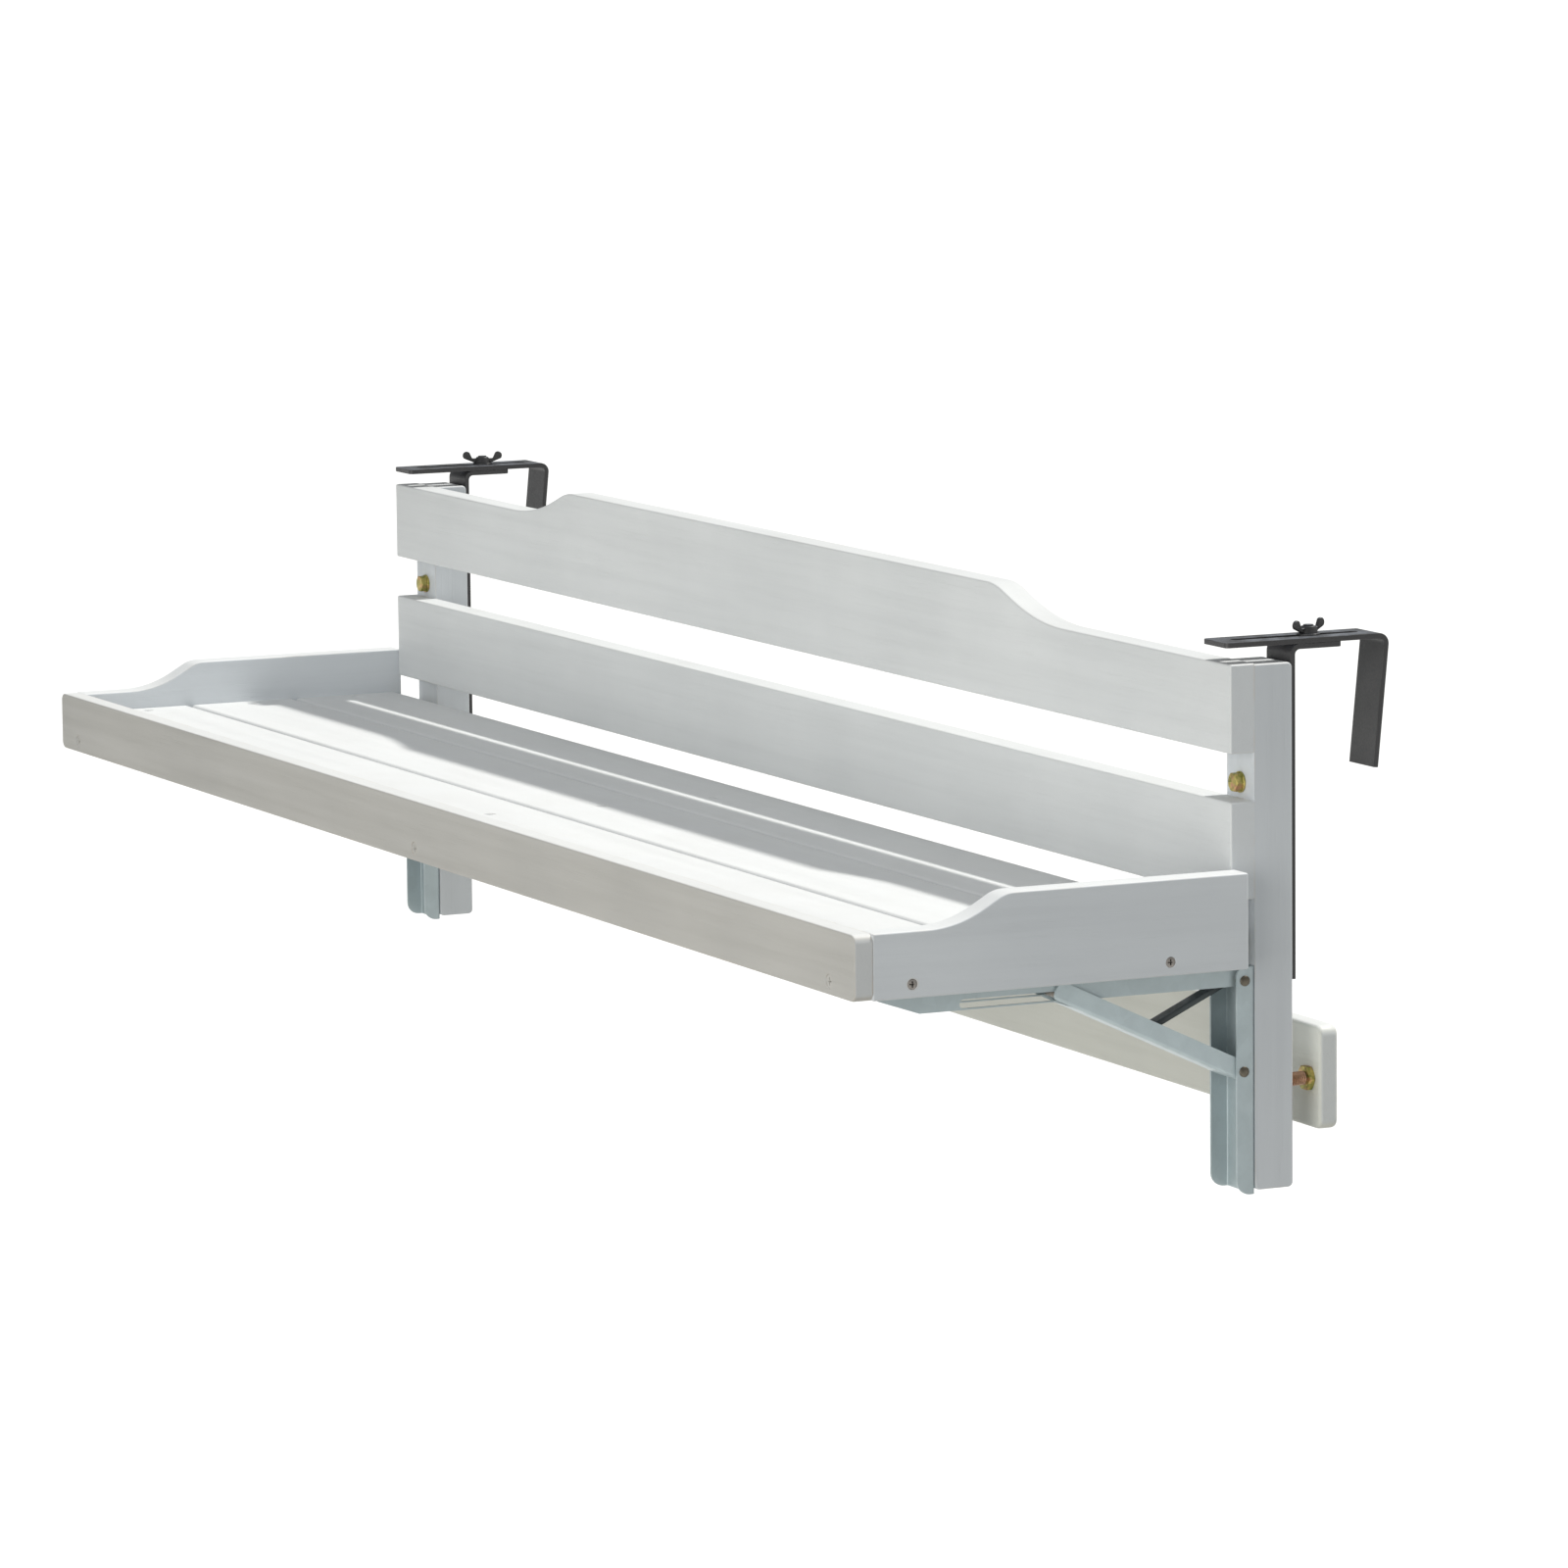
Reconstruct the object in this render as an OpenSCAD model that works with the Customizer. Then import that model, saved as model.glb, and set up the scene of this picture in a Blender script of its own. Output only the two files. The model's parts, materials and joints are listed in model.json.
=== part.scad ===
// Balcony railing bar table: a folding slatted shelf on two posts that hangs on a railing.
// X runs along the railing, Y points from the user to the railing, Z is up.
// Y = 0 is the back face of the hook straps, Z = 0 is the underside of their seats.

/* [Back frame] */
// Length of the two boards and of the stop board
board_len = 1200; // [1000:10:1500]
// Thickness of the two boards
board_t = 15; // [12:1:20]
// Height of the top board at its ends
top_board_h = 49.8; // [45:0.1:70]
// Rise of the raised middle of the top board
top_rise = 18.4; // [15:0.1:30]
// Half length of the level part of the raised middle
rise_half = 300; // [200:10:380]
// Steepest slope of the shoulders beside the raised middle, in degrees
shoulder_slope = 18.5; // [16:0.5:30]
// Radius of the outward curve of the shoulders
shoulder_r_out = 60; // [40:1:80]
// Radius of the inward curve of the shoulders
shoulder_r_in = 200; // [120:5:220]
// Height of the lower board
low_board_h = 54.9; // [45:0.1:60]
// Open gap between the two boards
board_gap = 27; // [20:1:40]
// Width of a post along the railing
post_w = 32; // [30:1:40]
// Depth of a post
post_d = 24; // [20:1:32]
// Length of a post below the shelf's underside
post_foot = 128; // [128:1:180]
// Distance from the hook seat down to the top of a post
post_drop = 6.5; // [4:0.5:12]
// Height of the top board's ends above the posts
board_proud = 0.5; // [0.2:0.1:1]
// Radius of the eased edges of posts and boards
ease_r = 1.5; // [1:0.5:4]
// Distance of the board screws from the edges of each board
board_screw_in = 13; // [10:1:16]
// Length of the board screws
board_screw_len = 34; // [30:1:36]

/* [Shelf] */
// Height of the shelf's underside below the hook seat
shelf_drop = 174; // [170:1:180]
// Width of one slat
slat_w = 74; // [60:1:76]
// Gap between neighbouring slats
slat_gap = 2; // [1:0.5:6]
// Thickness of a slat
slat_t = 10; // [8:1:14]
// Radius of the eased long edges of a slat
slat_ease_r = 3; // [1:0.5:3]
// Distance from the front plane of the boards to the back edge of the slats
slat_clear = 3; // [3:0.5:8]
// Width of a batten under the slats
batten_w = 32; // [28:1:40]
// Height of a batten
batten_h = 15.2; // [14:0.1:20]
// Thickness of the front lip
lip_t = 11; // [10:1:16]
// Height of the front lip
lip_h = 37; // [32:1:50]
// Thickness of a side cheek
cheek_t = 16; // [12:1:20]
// Height of a cheek at its back end
cheek_back_h = 54; // [52:1:64]
// Height of a cheek at the front lip
cheek_front_h = 37; // [32:1:37]
// Level length of a cheek behind the lip before it rises
cheek_low_len = 33; // [20:1:60]
// Steepest slope of the cheek's curve, in degrees
cheek_slope = 30; // [30:1:40]
// Radius of the inward curve of a cheek
cheek_r_in = 70; // [40:1:70]
// Radius of the outward curve of a cheek
cheek_r_out = 20; // [12:1:20]
// Distance a cheek reaches behind the front plane of the boards
cheek_back = 2.2; // [0:0.1:3]
// Side play between the cheeks and the ends of the boards
side_play = 0.5; // [0.4:0.1:1.5]

/* [Folding brackets] */
// Height of a wall channel
wall_h = 128.5; // [124:0.5:130]
// Distance from the shelf's underside down to the top of a wall channel
wall_drop = 1.5; // [1:0.5:3]
// Width of a wall channel
wall_w = 32; // [32:0.5:34]
// Depth of a wall channel
wall_d = 11.5; // [11:0.5:12]
// Thickness of the bracket flanges
flange_t = 1.5; // [1.2:0.1:1.6]
// Thickness of the wall channel's web
wall_web_t = 1.2; // [1:0.1:1.3]
// Side play between nested bracket channels
nest_play = 0.5; // [0.4:0.1:0.6]
// Corner radius of the wall channel's flanges
wall_corner_r = 5; // [4:0.5:5.5]
// Distance of the hinge pin behind the front plane of the boards
hinge_in = 8.6; // [8.4:0.1:8.8]
// Distance of the hinge pin below the shelf's underside
hinge_drop = 9.2; // [9:0.1:9.6]
// Distance of the brace rivets behind the front plane of the boards
brace_in = 8; // [7.8:0.1:8.2]
// Distance of the brace rivets below the shelf's underside
brace_drop = 60.4; // [58:0.1:62]
// Distance in front of the boards where the brace carries the arm
brace_reach = 100; // [96:1:104]
// Distance from the brace's axis to the outside of its web
brace_web_out = 5.3; // [5.2:0.1:5.4]
// Distance from the brace's axis to its free edges
brace_edge = 5.6; // [5:0.1:6]
// Thickness of the brace's web
brace_web_t = 1; // [0.9:0.1:1.1]
// Radius of the brace's rounded end around the slide pin
brace_end_r = 8.8; // [8.4:0.1:8.8]
// Length of an arm channel in front of the boards, along its web
arm_len = 216; // [205:1:220]
// Length of the bevelled lower corner at an arm's front end
arm_bevel = 25; // [15:1:40]
// Height of an arm channel
arm_h = 12.6; // [12:0.1:13]
// Height of an arm's blunt front end
arm_tip_h = 4; // [3:0.5:6]
// Distance in front of the boards where an arm's web begins
arm_web_start = 3; // [2:0.5:6]
// Radius of the rounded back end of an arm
arm_end_r = 4.6; // [4:0.1:4.8]
// Diameter of the hinge pin and of the brace rivets
pin_dia = 4; // [3.5:0.1:4.2]
// Diameter of the pin and rivet heads
pin_head_dia = 6; // [5.4:0.1:7]
// Height of the pin and rivet heads
pin_head_h = 1.2; // [1:0.1:2]
// Radial running clearance of pins, nuts and bolts
run_fit = 0.05; // [0.03:0.01:0.1]
// End gap of washers, sleeves and heads that turn
end_play = 0.05; // [0.03:0.01:0.1]
// Diameter of the washers on the hinge pin
spacer_dia = 8; // [7:0.5:8.4]
// Width of the stay between arm and brace
stay_w = 9; // [8:0.5:14]
// Thickness of the stay
stay_t = 3.5; // [3:0.5:5]
// Distance between the stay's hinge and its foot
stay_len = 61.7; // [60:0.1:63]
// Angle of the stay from level in use, in degrees
stay_angle = 24.6; // [24.5:0.01:24.7]
// Radius of the stay's foot
stay_foot_r = 3.3; // [3:0.1:3.3]
// Radius of the stay's hinge eye
stay_eye_r = 4.2; // [3.6:0.1:4.4]
// Diameter of the slide pin where it runs in the arm's slots
slide_dia = 5; // [4:0.5:5]
// Diameter of the slide pin between the arm's flanges
slide_mid_dia = 7; // [6:0.5:7]
// Spare length at each end of the arm's slots
slot_spare = 1; // [0.5:0.5:2]

/* [Hooks] */
// Width of the flat steel of straps and hooks
bar_w = 28; // [22:1:30]
// Thickness of the flat steel of straps and hooks
bar_t = 3; // [2.5:0.5:4]
// Length of a strap below the shelf's underside
strap_foot = 11; // [10:1:20]
// Length of the seat flange behind the strap
seat_len = 30; // [26:1:32]
// Distance of the clamp bolt behind the strap
clamp_y = 16; // [14:1:18]
// Outside radius of the bends in straps and hooks
bend_r = 6; // [5:0.5:8]
// Distance from the clamp bolt forward to the front end of the hook's arm
hook_front = 59.5; // [55:0.5:70]
// Distance from the clamp bolt back to the inside of the hook's leg
hook_throat = 40.5; // [38:0.5:60]
// Length of the hook's leg below its arm
hook_leg = 69.2; // [60:0.1:100]
// Lean of the hook's leg toward the post, in degrees
hook_lean = 5.7; // [0:0.1:8]
// Forward end of the hook's slot, from the clamp bolt
slot_front = 46; // [40:1:48]
// Rear end of the hook's slot, from the clamp bolt
slot_rear = 28; // [24:1:28]
// Corner radius at the ends of straps and hooks
bar_corner_r = 3; // [1:0.5:5]
// Diameter of the clamp bolts
clamp_dia = 6; // [5:0.5:6]
// Diameter of the clamp bolt's countersunk head
clamp_head_dia = 11; // [10:0.5:11]
// Radial play of the clamp bolt in the hook's slot
slot_play = 0.1; // [0.05:0.05:0.3]
// Diameter of the washer under a wing nut
clamp_washer_dia = 13; // [12:0.5:14]
// Thickness of the washer under a wing nut
clamp_washer_t = 1; // [0.8:0.1:1.4]
// Diameter of a wing nut's hub at its foot
hub_dia = 11; // [10:0.5:12]
// Diameter of a wing nut's hub at its top
hub_top_dia = 8.6; // [8:0.1:9]
// Height of a wing nut's hub
hub_h = 4; // [3.5:0.5:7]
// Span of the wings
wing_span = 27; // [25:0.5:32]
// Height of the wings' tips above the hub's foot
wing_h = 7.8; // [7:0.1:12]
// Thickness of the wings
wing_t = 2.2; // [1.8:0.1:2.6]
// Radius of a wing's rounded tip
wing_tip_r = 2.8; // [2:0.1:3]
// Height where the wings' upper edges meet the hub, as a share of the hub's height
wing_root_share = 0.8; // [0.6:0.05:0.9]
// Turn of the wings from square to the hook, in degrees
wing_turn = 113; // [0:1:180]
// Length the clamp bolt stands out of the wing nut
clamp_proud = 0.8; // [0.5:0.1:3]

/* [Bolts and screws] */
// Diameter of the strap bolts
strap_bolt_dia = 6; // [5:0.5:7]
// Width across the flats of the strap bolts' heads and nuts
strap_flats = 10; // [9.5:0.5:11]
// Height of the strap bolts' heads
hex_head_h = 4; // [3.5:0.1:5]
// Height of the strap bolts' nuts
hex_nut_h = 5; // [4:0.5:6]
// Play of the sunk nuts across their corners
nut_play = 0.3; // [0.2:0.05:0.5]
// Diameter of the strap bolts' washers
washer_dia = 12; // [12:0.5:14]
// Thickness of the strap bolts' washers
washer_t = 1.4; // [1.2:0.1:2]
// Height of the upper strap bolt above the lower board
bolt_up_gap = 9; // [8:0.5:13]
// Height of the lower strap bolt in the gap between shelf and lower board, as a share of the gap
bolt_low_share = 0.33; // [0.3:0.01:0.5]
// Diameter of the wood screws
screw_dia = 4; // [3.5:0.1:4.5]
// Diameter of the wood screws' countersunk heads
screw_head_dia = 8; // [7.5:0.1:8.5]
// Length of the screws through the cheeks
rim_screw_len = 40; // [30:1:50]
// Length of the screws through the lip
lip_screw_len = 30; // [26:1:31]
// Length of the screws in the slats
slat_screw_len = 22; // [16:1:24]
// Length of the screws in the arms
arm_screw_len = 14; // [10:1:16]
// Height of the arm screws' pan heads
pan_h = 2; // [1.5:0.1:2.2]
// Length of the screws in the wall channels
wall_screw_len = 20; // [16:1:22]
// Depths of the wall channel's large screws below its top
wall_screw_at = [43.5, 96.5];
// Depth of the wall channel's small screw below its top
wall_small_at = 111.5; // [110:0.5:114]
// Size of the small screw as a share of the large ones
small_screw_share = 0.7; // [0.6:0.05:0.8]
// Height of the rim screws above the shelf's underside
rim_screw_up = 7.7; // [7:0.1:8.2]
// Distance of the cheek screws from the ends of a batten
cheek_screw_in = [24, 43.5];
// Distances of the arm screws in front of the boards
arm_screw_at = [66, 138, 176];

/* [Stop board] */
// Height of the stop board
stop_h = 59; // [50:0.1:70]
// Thickness of the stop board
stop_t = 12; // [10:1:15]
// Gap between the posts and the stop board
stop_gap = 17; // [16:0.5:18]
// Depth of the stop board's top edge below the shelf's underside
stop_drop = 38.6; // [37:0.1:42]
// Diameter of the adjusting bolts
bolt_dia = 8; // [6:0.5:8]
// Distance of the adjusting bolts below the stop board's top edge
adjust_drop = 30.6; // [28:0.1:32]
// Width across the flats of the lock nuts
hex_flats = 13; // [12:0.5:13]
// Height of the lock nuts on the adjusting bolts
lock_nut_h = 4; // [3.5:0.5:6.5]
// Radius of the stop board's corners
stop_corner_r = 6; // [3:0.5:10]
// Distance of the adjusting bolts from the ends of the stop board
adjust_end = 12; // [11:0.5:16]
// Length the adjusting bolts reach into the posts
adjust_in = 14.5; // [14:0.5:15]
// Diameter of the threaded inserts in the posts
insert_dia = 12; // [11:0.5:13]
// Diameter of the inserts' collars
insert_collar_dia = 16; // [15:0.5:17]
// Thickness of the inserts' collars
insert_collar_t = 1.5; // [1:0.1:2]
// Length of the inserts
insert_len = 12; // [10:1:13]
// Diameter of the adjusting bolts' countersunk heads
adjust_head_dia = 15; // [14:0.5:16]

/* [Hidden] */
$fn = 48;
quarter = 90;
half_turn = 180;
bend_steps = 16;
tiny = board_t / 1000;
cut = board_t / 10;
dish = (screw_head_dia - screw_dia) / 2;
y_back = -bar_t;
y_post = y_back - post_d;
y_front = y_post - board_t;
x_end = board_len / 2;
x_post = x_end - post_w / 2;
z_post = -post_drop;
z_top_board = z_post + board_proud;
z_gap_top = z_top_board - top_board_h;
z_gap_low = z_gap_top - board_gap;
z_low_board = z_gap_low - low_board_h;
z_shelf = -shelf_drop;
z_bolt_low = z_shelf + bolt_low_share * (z_low_board - z_shelf);
z_bolt_up = z_gap_low + bolt_up_gap;
z_foot = z_shelf - post_foot;
z_stop = z_shelf - stop_drop - stop_h;
adjust_x = x_end - adjust_end;
y_slat = y_front - slat_clear;
slat_all = 3 * slat_w + 2 * slat_gap;
y_lip = y_slat - slat_all;
x_cheek = x_end + side_play;
x_batten = x_cheek - batten_w / 2;
z_slat = z_shelf + batten_h;
y_hinge = y_front + hinge_in;
z_hinge = z_shelf - hinge_drop;
y_brace = y_front + brace_in;
z_brace = z_shelf - brace_drop;
brace_dy = brace_in + brace_reach;
brace_dz = brace_drop - hinge_drop;
brace_len = norm([brace_dy, brace_dz]);
brace_rise = atan2(brace_dz, brace_dy);
z_wall = z_shelf - wall_drop;
wall_in = wall_w / 2 - flange_t;
brace_half = wall_in - nest_play;
brace_half_in = brace_half - flange_t;
arm_half = brace_half_in - nest_play;
arm_half_in = arm_half - flange_t;
slot_near = hinge_in + brace_reach;
slot_far = brace_drop - hinge_drop + brace_len;
hex_dia = hex_flats / cos(30);
strap_hex_dia = strap_flats / cos(30);
small_dia = screw_dia * small_screw_share;
small_head = screw_head_dia * small_screw_share;

// Round bar along X from x0 to x1 through the point y, z.
module bar_x(x0, x1, y, z, dia, sides = 48) {
    translate([x0, y, z]) rotate([0, quarter, 0]) cylinder(h = x1 - x0, d = dia, $fn = sides);
}

// Round bar along Y from y0 to y1 through the point x, z.
module bar_y(x, z, y0, y1, dia, sides = 48) {
    translate([x, y0, z]) rotate([-quarter, 0, 0]) cylinder(h = y1 - y0, d = dia, $fn = sides);
}

// Round bar along Z from z0 to z1 through the point x, y.
module bar_z(x, y, z0, z1, dia, sides = 48) {
    translate([x, y, z0]) cylinder(h = z1 - z0, d = dia, $fn = sides);
}

// Plate of thickness t whose outline lies in the Y-Z plane, starting at x0.
module side_plate(x0, t) {
    translate([x0, 0, 0]) rotate([quarter, 0, quarter]) linear_extrude(t) children();
}

// Box between two corners.
module span(a, b) {
    translate(a) cube(b - a);
}

// Children at the right end of the part and mirrored at the left end.
module both() {
    children();
    mirror([1, 0, 0]) children();
}

// Long board along X with four eased long edges.
module eased_board(x0, x1, y0, y1, z0, z1, r) {
    span([x0, y0 + r, z0], [x1, y1 - r, z1]);
    span([x0, y0, z0 + r], [x1, y1, z1 - r]);
    for (y = [y0 + r, y1 - r]) {
        for (z = [z0 + r, z1 - r]) {
            bar_x(x0, x1, y, z, 2 * r);
        }
    }
}

// Countersunk wood screw from the origin along +Z, its flat head's face at Z = 0.
module sunk_screw(len, dia = screw_dia, head = screw_head_dia) {
    cylinder(h = (head - dia) / 2, d1 = head, d2 = dia);
    cylinder(h = len - dia, d = dia);
    translate([0, 0, len - dia]) cylinder(h = dia, d1 = dia, d2 = dia / 4);
}

// Room for a countersunk screw, its mouth at Z = 0.
module sunk_hole(len, dia = screw_dia, head = screw_head_dia) {
    sunk_screw(len, dia, head);
    translate([0, 0, -cut]) cylinder(h = cut + tiny, d = head);
}

// Positions of the board screws, along +Y toward the user's side.
module board_screw_places() {
    low = [z_low_board + board_screw_in, z_gap_low - board_screw_in];
    top = [z_gap_top + board_screw_in, z_top_board - board_screw_in];
    for (z = concat(low, top)) {
        translate([x_post, y_back, z]) rotate([quarter, 0, 0]) children();
    }
}

// Positions of the two strap bolts, along +Y from the post's front face. The lower one is
// below the lower board, above the shelf's underside.
module strap_bolt_places() {
    for (z = [z_bolt_up, z_bolt_low]) {
        translate([x_post, y_post, z]) rotate([-quarter, 0, 0]) children();
    }
}

// Positions of the wall channel's large screws, along +Y.
module wall_screw_places() {
    for (d = wall_screw_at) {
        translate([x_post, y_post - wall_web_t, z_wall - d]) rotate([-quarter, 0, 0]) children();
    }
}

// Position of the wall channel's small screw, along +Y.
module wall_small_place() {
    z = z_wall - wall_small_at;
    translate([x_post, y_post - wall_web_t, z]) rotate([-quarter, 0, 0]) children();
}

// Round pocket along Z for a strap bolt's nut.
module nut_pocket() {
    cylinder(h = hex_nut_h + cut, d = strap_hex_dia + nut_play);
}

// Solid post at the right end, before its holes.
module post_blank() {
    difference() {
        span([x_end - post_w, y_post, z_foot], [x_end, y_back, z_post]);
        post_edge(x_end - post_w, 1);
        post_edge(x_end, -1);
    }
}

// Waste that rounds an upright back edge of the post at x; s points to its middle.
module post_edge(x, s) {
    r = ease_r;
    difference() {
        span([x - r, y_back - r, z_foot - cut], [x + r, y_back + r, z_post + cut]);
        bar_z(x + s * r, y_back - r, z_foot - 2 * cut, z_post + 2 * cut, 2 * r);
    }
}

module post_right() {
    color([0.80, 0.79, 0.76])
    difference() {
        post_blank();
        board_screw_places() sunk_hole(board_screw_len);
        strap_bolt_places() {
            translate([0, 0, -cut]) cylinder(h = post_d, d = strap_bolt_dia + 2 * run_fit);
            translate([0, 0, post_d - hex_nut_h]) nut_pocket();
        }
        wall_screw_places() sunk_hole(wall_screw_len);
        wall_small_place() sunk_hole(wall_screw_len, small_dia, small_head);
        adjust_place() {
            translate([0, 0, -post_d]) cylinder(h = post_d + cut, d = bolt_dia + 2 * run_fit);
            translate([0, 0, -insert_len]) cylinder(h = insert_len + cut, d = insert_dia);
            translate([0, 0, -insert_collar_t]) cylinder(h = insert_collar_t + cut, d = insert_collar_dia);
        }
    }
}

module post_left() {
    mirror([1, 0, 0]) post_right();
}

// Raised middle of the top board on the right side, in front view.
module shoulder_solid(y0, y1) {
    s = shoulder_slope;
    drop_out = shoulder_r_out * (1 - cos(s));
    drop_in = shoulder_r_in * (1 - cos(s));
    run = (top_rise - drop_out - drop_in) / tan(s);
    xa = rise_half + shoulder_r_out * sin(s);
    xb = xa + run;
    xc = xb + shoulder_r_in * sin(s);
    za = z_top_board + top_rise - drop_out;
    zb = z_top_board + drop_in;
    zt = z_top_board + top_rise;
    zr = zt - shoulder_r_out;
    low = z_top_board - cut;
    span([0, y0, low], [rise_half, y1, zt]);
    intersection() {
        bar_y(rise_half, zr, y0, y1, 2 * shoulder_r_out, 180);
        span([rise_half - tiny, y0, za - cut], [xa, y1, zt + cut]);
    }
    translate([0, y1, 0]) rotate([quarter, 0, 0]) linear_extrude(y1 - y0)
        polygon([[rise_half - tiny, low], [rise_half - tiny, za], [xa, za], [xb, zb], [xb, low]]);
    difference() {
        span([xb - tiny, y0, low], [xc, y1, zb]);
        bar_y(xc, z_top_board + shoulder_r_in, y0 - cut, y1 + cut, 2 * shoulder_r_in, 360);
    }
}

module top_board() {
    color([0.84, 0.84, 0.82])
    difference() {
        union() {
            span([-x_end, y_front, z_gap_top], [x_end, y_post, z_top_board]);
            both() shoulder_solid(y_front, y_post);
        }
        both() board_screw_places() sunk_hole(board_screw_len);
        board_edge(y_front, z_gap_top, 1);
    }
}

// Waste that rounds a long front edge of a board at y, z; up is 1 for a lower edge, -1 for an upper.
module board_edge(y, z, up) {
    difference() {
        span([-board_len, y - ease_r, z - ease_r], [board_len, y + ease_r, z + ease_r]);
        bar_x(-board_len - cut, board_len + cut, y + ease_r, z + up * ease_r, 2 * ease_r);
    }
}

module lower_board() {
    color([0.80, 0.80, 0.78])
    difference() {
        span([-x_end, y_front, z_low_board], [x_end, y_post, z_gap_low]);
        both() board_screw_places() sunk_hole(board_screw_len);
        board_edge(y_front, z_low_board, 1);
        board_edge(y_front, z_gap_low, -1);
    }
}

module board_screws() {
    color([0.70, 0.68, 0.62])
    both() board_screw_places() sunk_screw(board_screw_len);
}

// Right wall channel: web on the post and two flanges toward the user.
module wall_channel_right() {
    z0 = z_wall - wall_h;
    yf = y_post - wall_d;
    r = wall_corner_r;
    color([0.60, 0.64, 0.63])
    difference() {
        union() {
            span([x_post - wall_w / 2, y_post - wall_web_t, z0], [x_post + wall_w / 2, y_post, z_wall]);
            for (x = [x_post - wall_w / 2, x_post + wall_in]) {
                span([x, yf + r, z0], [x + flange_t, y_post, z_wall]);
                span([x, yf, z0 + r], [x + flange_t, y_post, z_wall - r]);
                bar_x(x, x + flange_t, yf + r, z0 + r, 2 * r);
                bar_x(x, x + flange_t, yf + r, z_wall - r, 2 * r);
            }
        }
        wall_screw_places() sunk_hole(wall_screw_len);
        wall_small_place() sunk_hole(wall_screw_len, small_dia, small_head);
        bar_x(x_post - wall_w, x_post + wall_w, y_hinge, z_hinge, pin_dia);
        bar_x(x_post - wall_w, x_post + wall_w, y_brace, z_brace, pin_dia);
    }
}

module wall_channel_left() {
    mirror([1, 0, 0]) wall_channel_right();
}

module wall_screws() {
    color([0.62, 0.62, 0.60])
    both() {
        wall_screw_places() sunk_screw(wall_screw_len);
        wall_small_place() sunk_screw(wall_screw_len, small_dia, small_head);
    }
}

// Hinge pins right through the wall channels, a head at each end.
module hinge_pins() {
    w = wall_w / 2;
    color([0.72, 0.73, 0.72])
    both() {
        bar_x(x_post - w - tiny, x_post + w + tiny, y_hinge, z_hinge, pin_dia);
        bar_x(x_post + w, x_post + w + pin_head_h, y_hinge, z_hinge, pin_head_dia);
        bar_x(x_post - w - pin_head_h, x_post - w, y_hinge, z_hinge, pin_head_dia);
    }
}

// Washers outside each arm and sleeves beside each stay, on the hinge pins.
module hinge_spacers() {
    bore = pin_dia;
    color([0.66, 0.67, 0.66])
    both() for (s = [-1, 1]) {
        translate([x_post, 0, 0]) scale([s, 1, 1]) {
            difference() {
                bar_x(arm_half + end_play, wall_in, y_hinge, z_hinge, spacer_dia);
                bar_x(arm_half, wall_in + cut, y_hinge, z_hinge, bore);
            }
            difference() {
                bar_x(stay_w / 2 + end_play, arm_half_in - end_play, y_hinge, z_hinge, spacer_dia);
                bar_x(stay_w / 2, arm_half_in, y_hinge, z_hinge, bore);
            }
        }
    }
}

// Stub rivets through wall flange and brace flange, flush inside the brace.
module brace_rivets() {
    w = wall_w / 2;
    color([0.72, 0.73, 0.72])
    both() for (s = [-1, 1]) {
        translate([x_post, 0, 0]) scale([s, 1, 1]) {
            bar_x(brace_half_in, w + tiny, y_brace, z_brace, pin_dia);
            bar_x(w, w + pin_head_h, y_brace, z_brace, pin_head_dia);
        }
    }
}

// Right strap: upright bar on the post's back with a seat flange bent to the rear.
module hook_strap_right() {
    x0 = x_post - bar_w / 2;
    x1 = x_post + bar_w / 2;
    zt = bar_t;
    color([0.22, 0.22, 0.22])
    difference() {
        union() {
            span([x0, y_back, z_shelf - strap_foot], [x1, 0, zt - bend_r]);
            span([x0, y_back + bend_r, 0], [x1, seat_len, zt]);
            difference() {
                bar_x(x0, x1, y_back + bend_r, zt - bend_r, 2 * bend_r);
                bar_x(x0 - cut, x1 + cut, y_back + bend_r, zt - bend_r, 2 * (bend_r - bar_t));
                span([x0 - cut, y_back + bend_r, -seat_len], [x1 + cut, seat_len, zt + cut]);
                span([x0 - cut, y_back - cut, -seat_len], [x1 + cut, seat_len, zt - bend_r]);
            }
        }
        bar_corners(x0, x1, seat_len, 1);
        strap_bolt_places() cylinder(h = post_d + bar_t + cut, d = strap_bolt_dia + 2 * run_fit);
        clamp_hole();
    }
}

module hook_strap_left() {
    mirror([1, 0, 0]) hook_strap_right();
}

// Waste that rounds the two corners of a flat bar's end at y.
module bar_corners(x0, x1, y, s) {
    r = bar_corner_r;
    for (e = [[x0, 1], [x1, -1]]) {
        difference() {
            span([e[0] - r, y - r, -bar_t], [e[0] + r, y + r, 3 * bar_t]);
            bar_z(e[0] + e[1] * r, y - s * r, -2 * bar_t, 4 * bar_t, 2 * r);
        }
    }
}

// Countersunk hole of the clamp bolt in the seat flange.
module clamp_hole() {
    translate([x_post, clamp_y, 0]) {
        translate([0, 0, -cut]) cylinder(h = cut + tiny, d = clamp_head_dia);
        cylinder(h = (clamp_head_dia - clamp_dia) / 2, d1 = clamp_head_dia, d2 = clamp_dia);
        cylinder(h = bar_t + cut, d = clamp_dia);
    }
}

module clamp_bolts() {
    top = 2 * bar_t + clamp_washer_t + hub_h + clamp_proud;
    color([0.20, 0.20, 0.20])
    both() translate([x_post, clamp_y, 0]) {
        cylinder(h = (clamp_head_dia - clamp_dia) / 2, d1 = clamp_head_dia, d2 = clamp_dia);
        cylinder(h = top, d = clamp_dia);
    }
}

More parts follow.
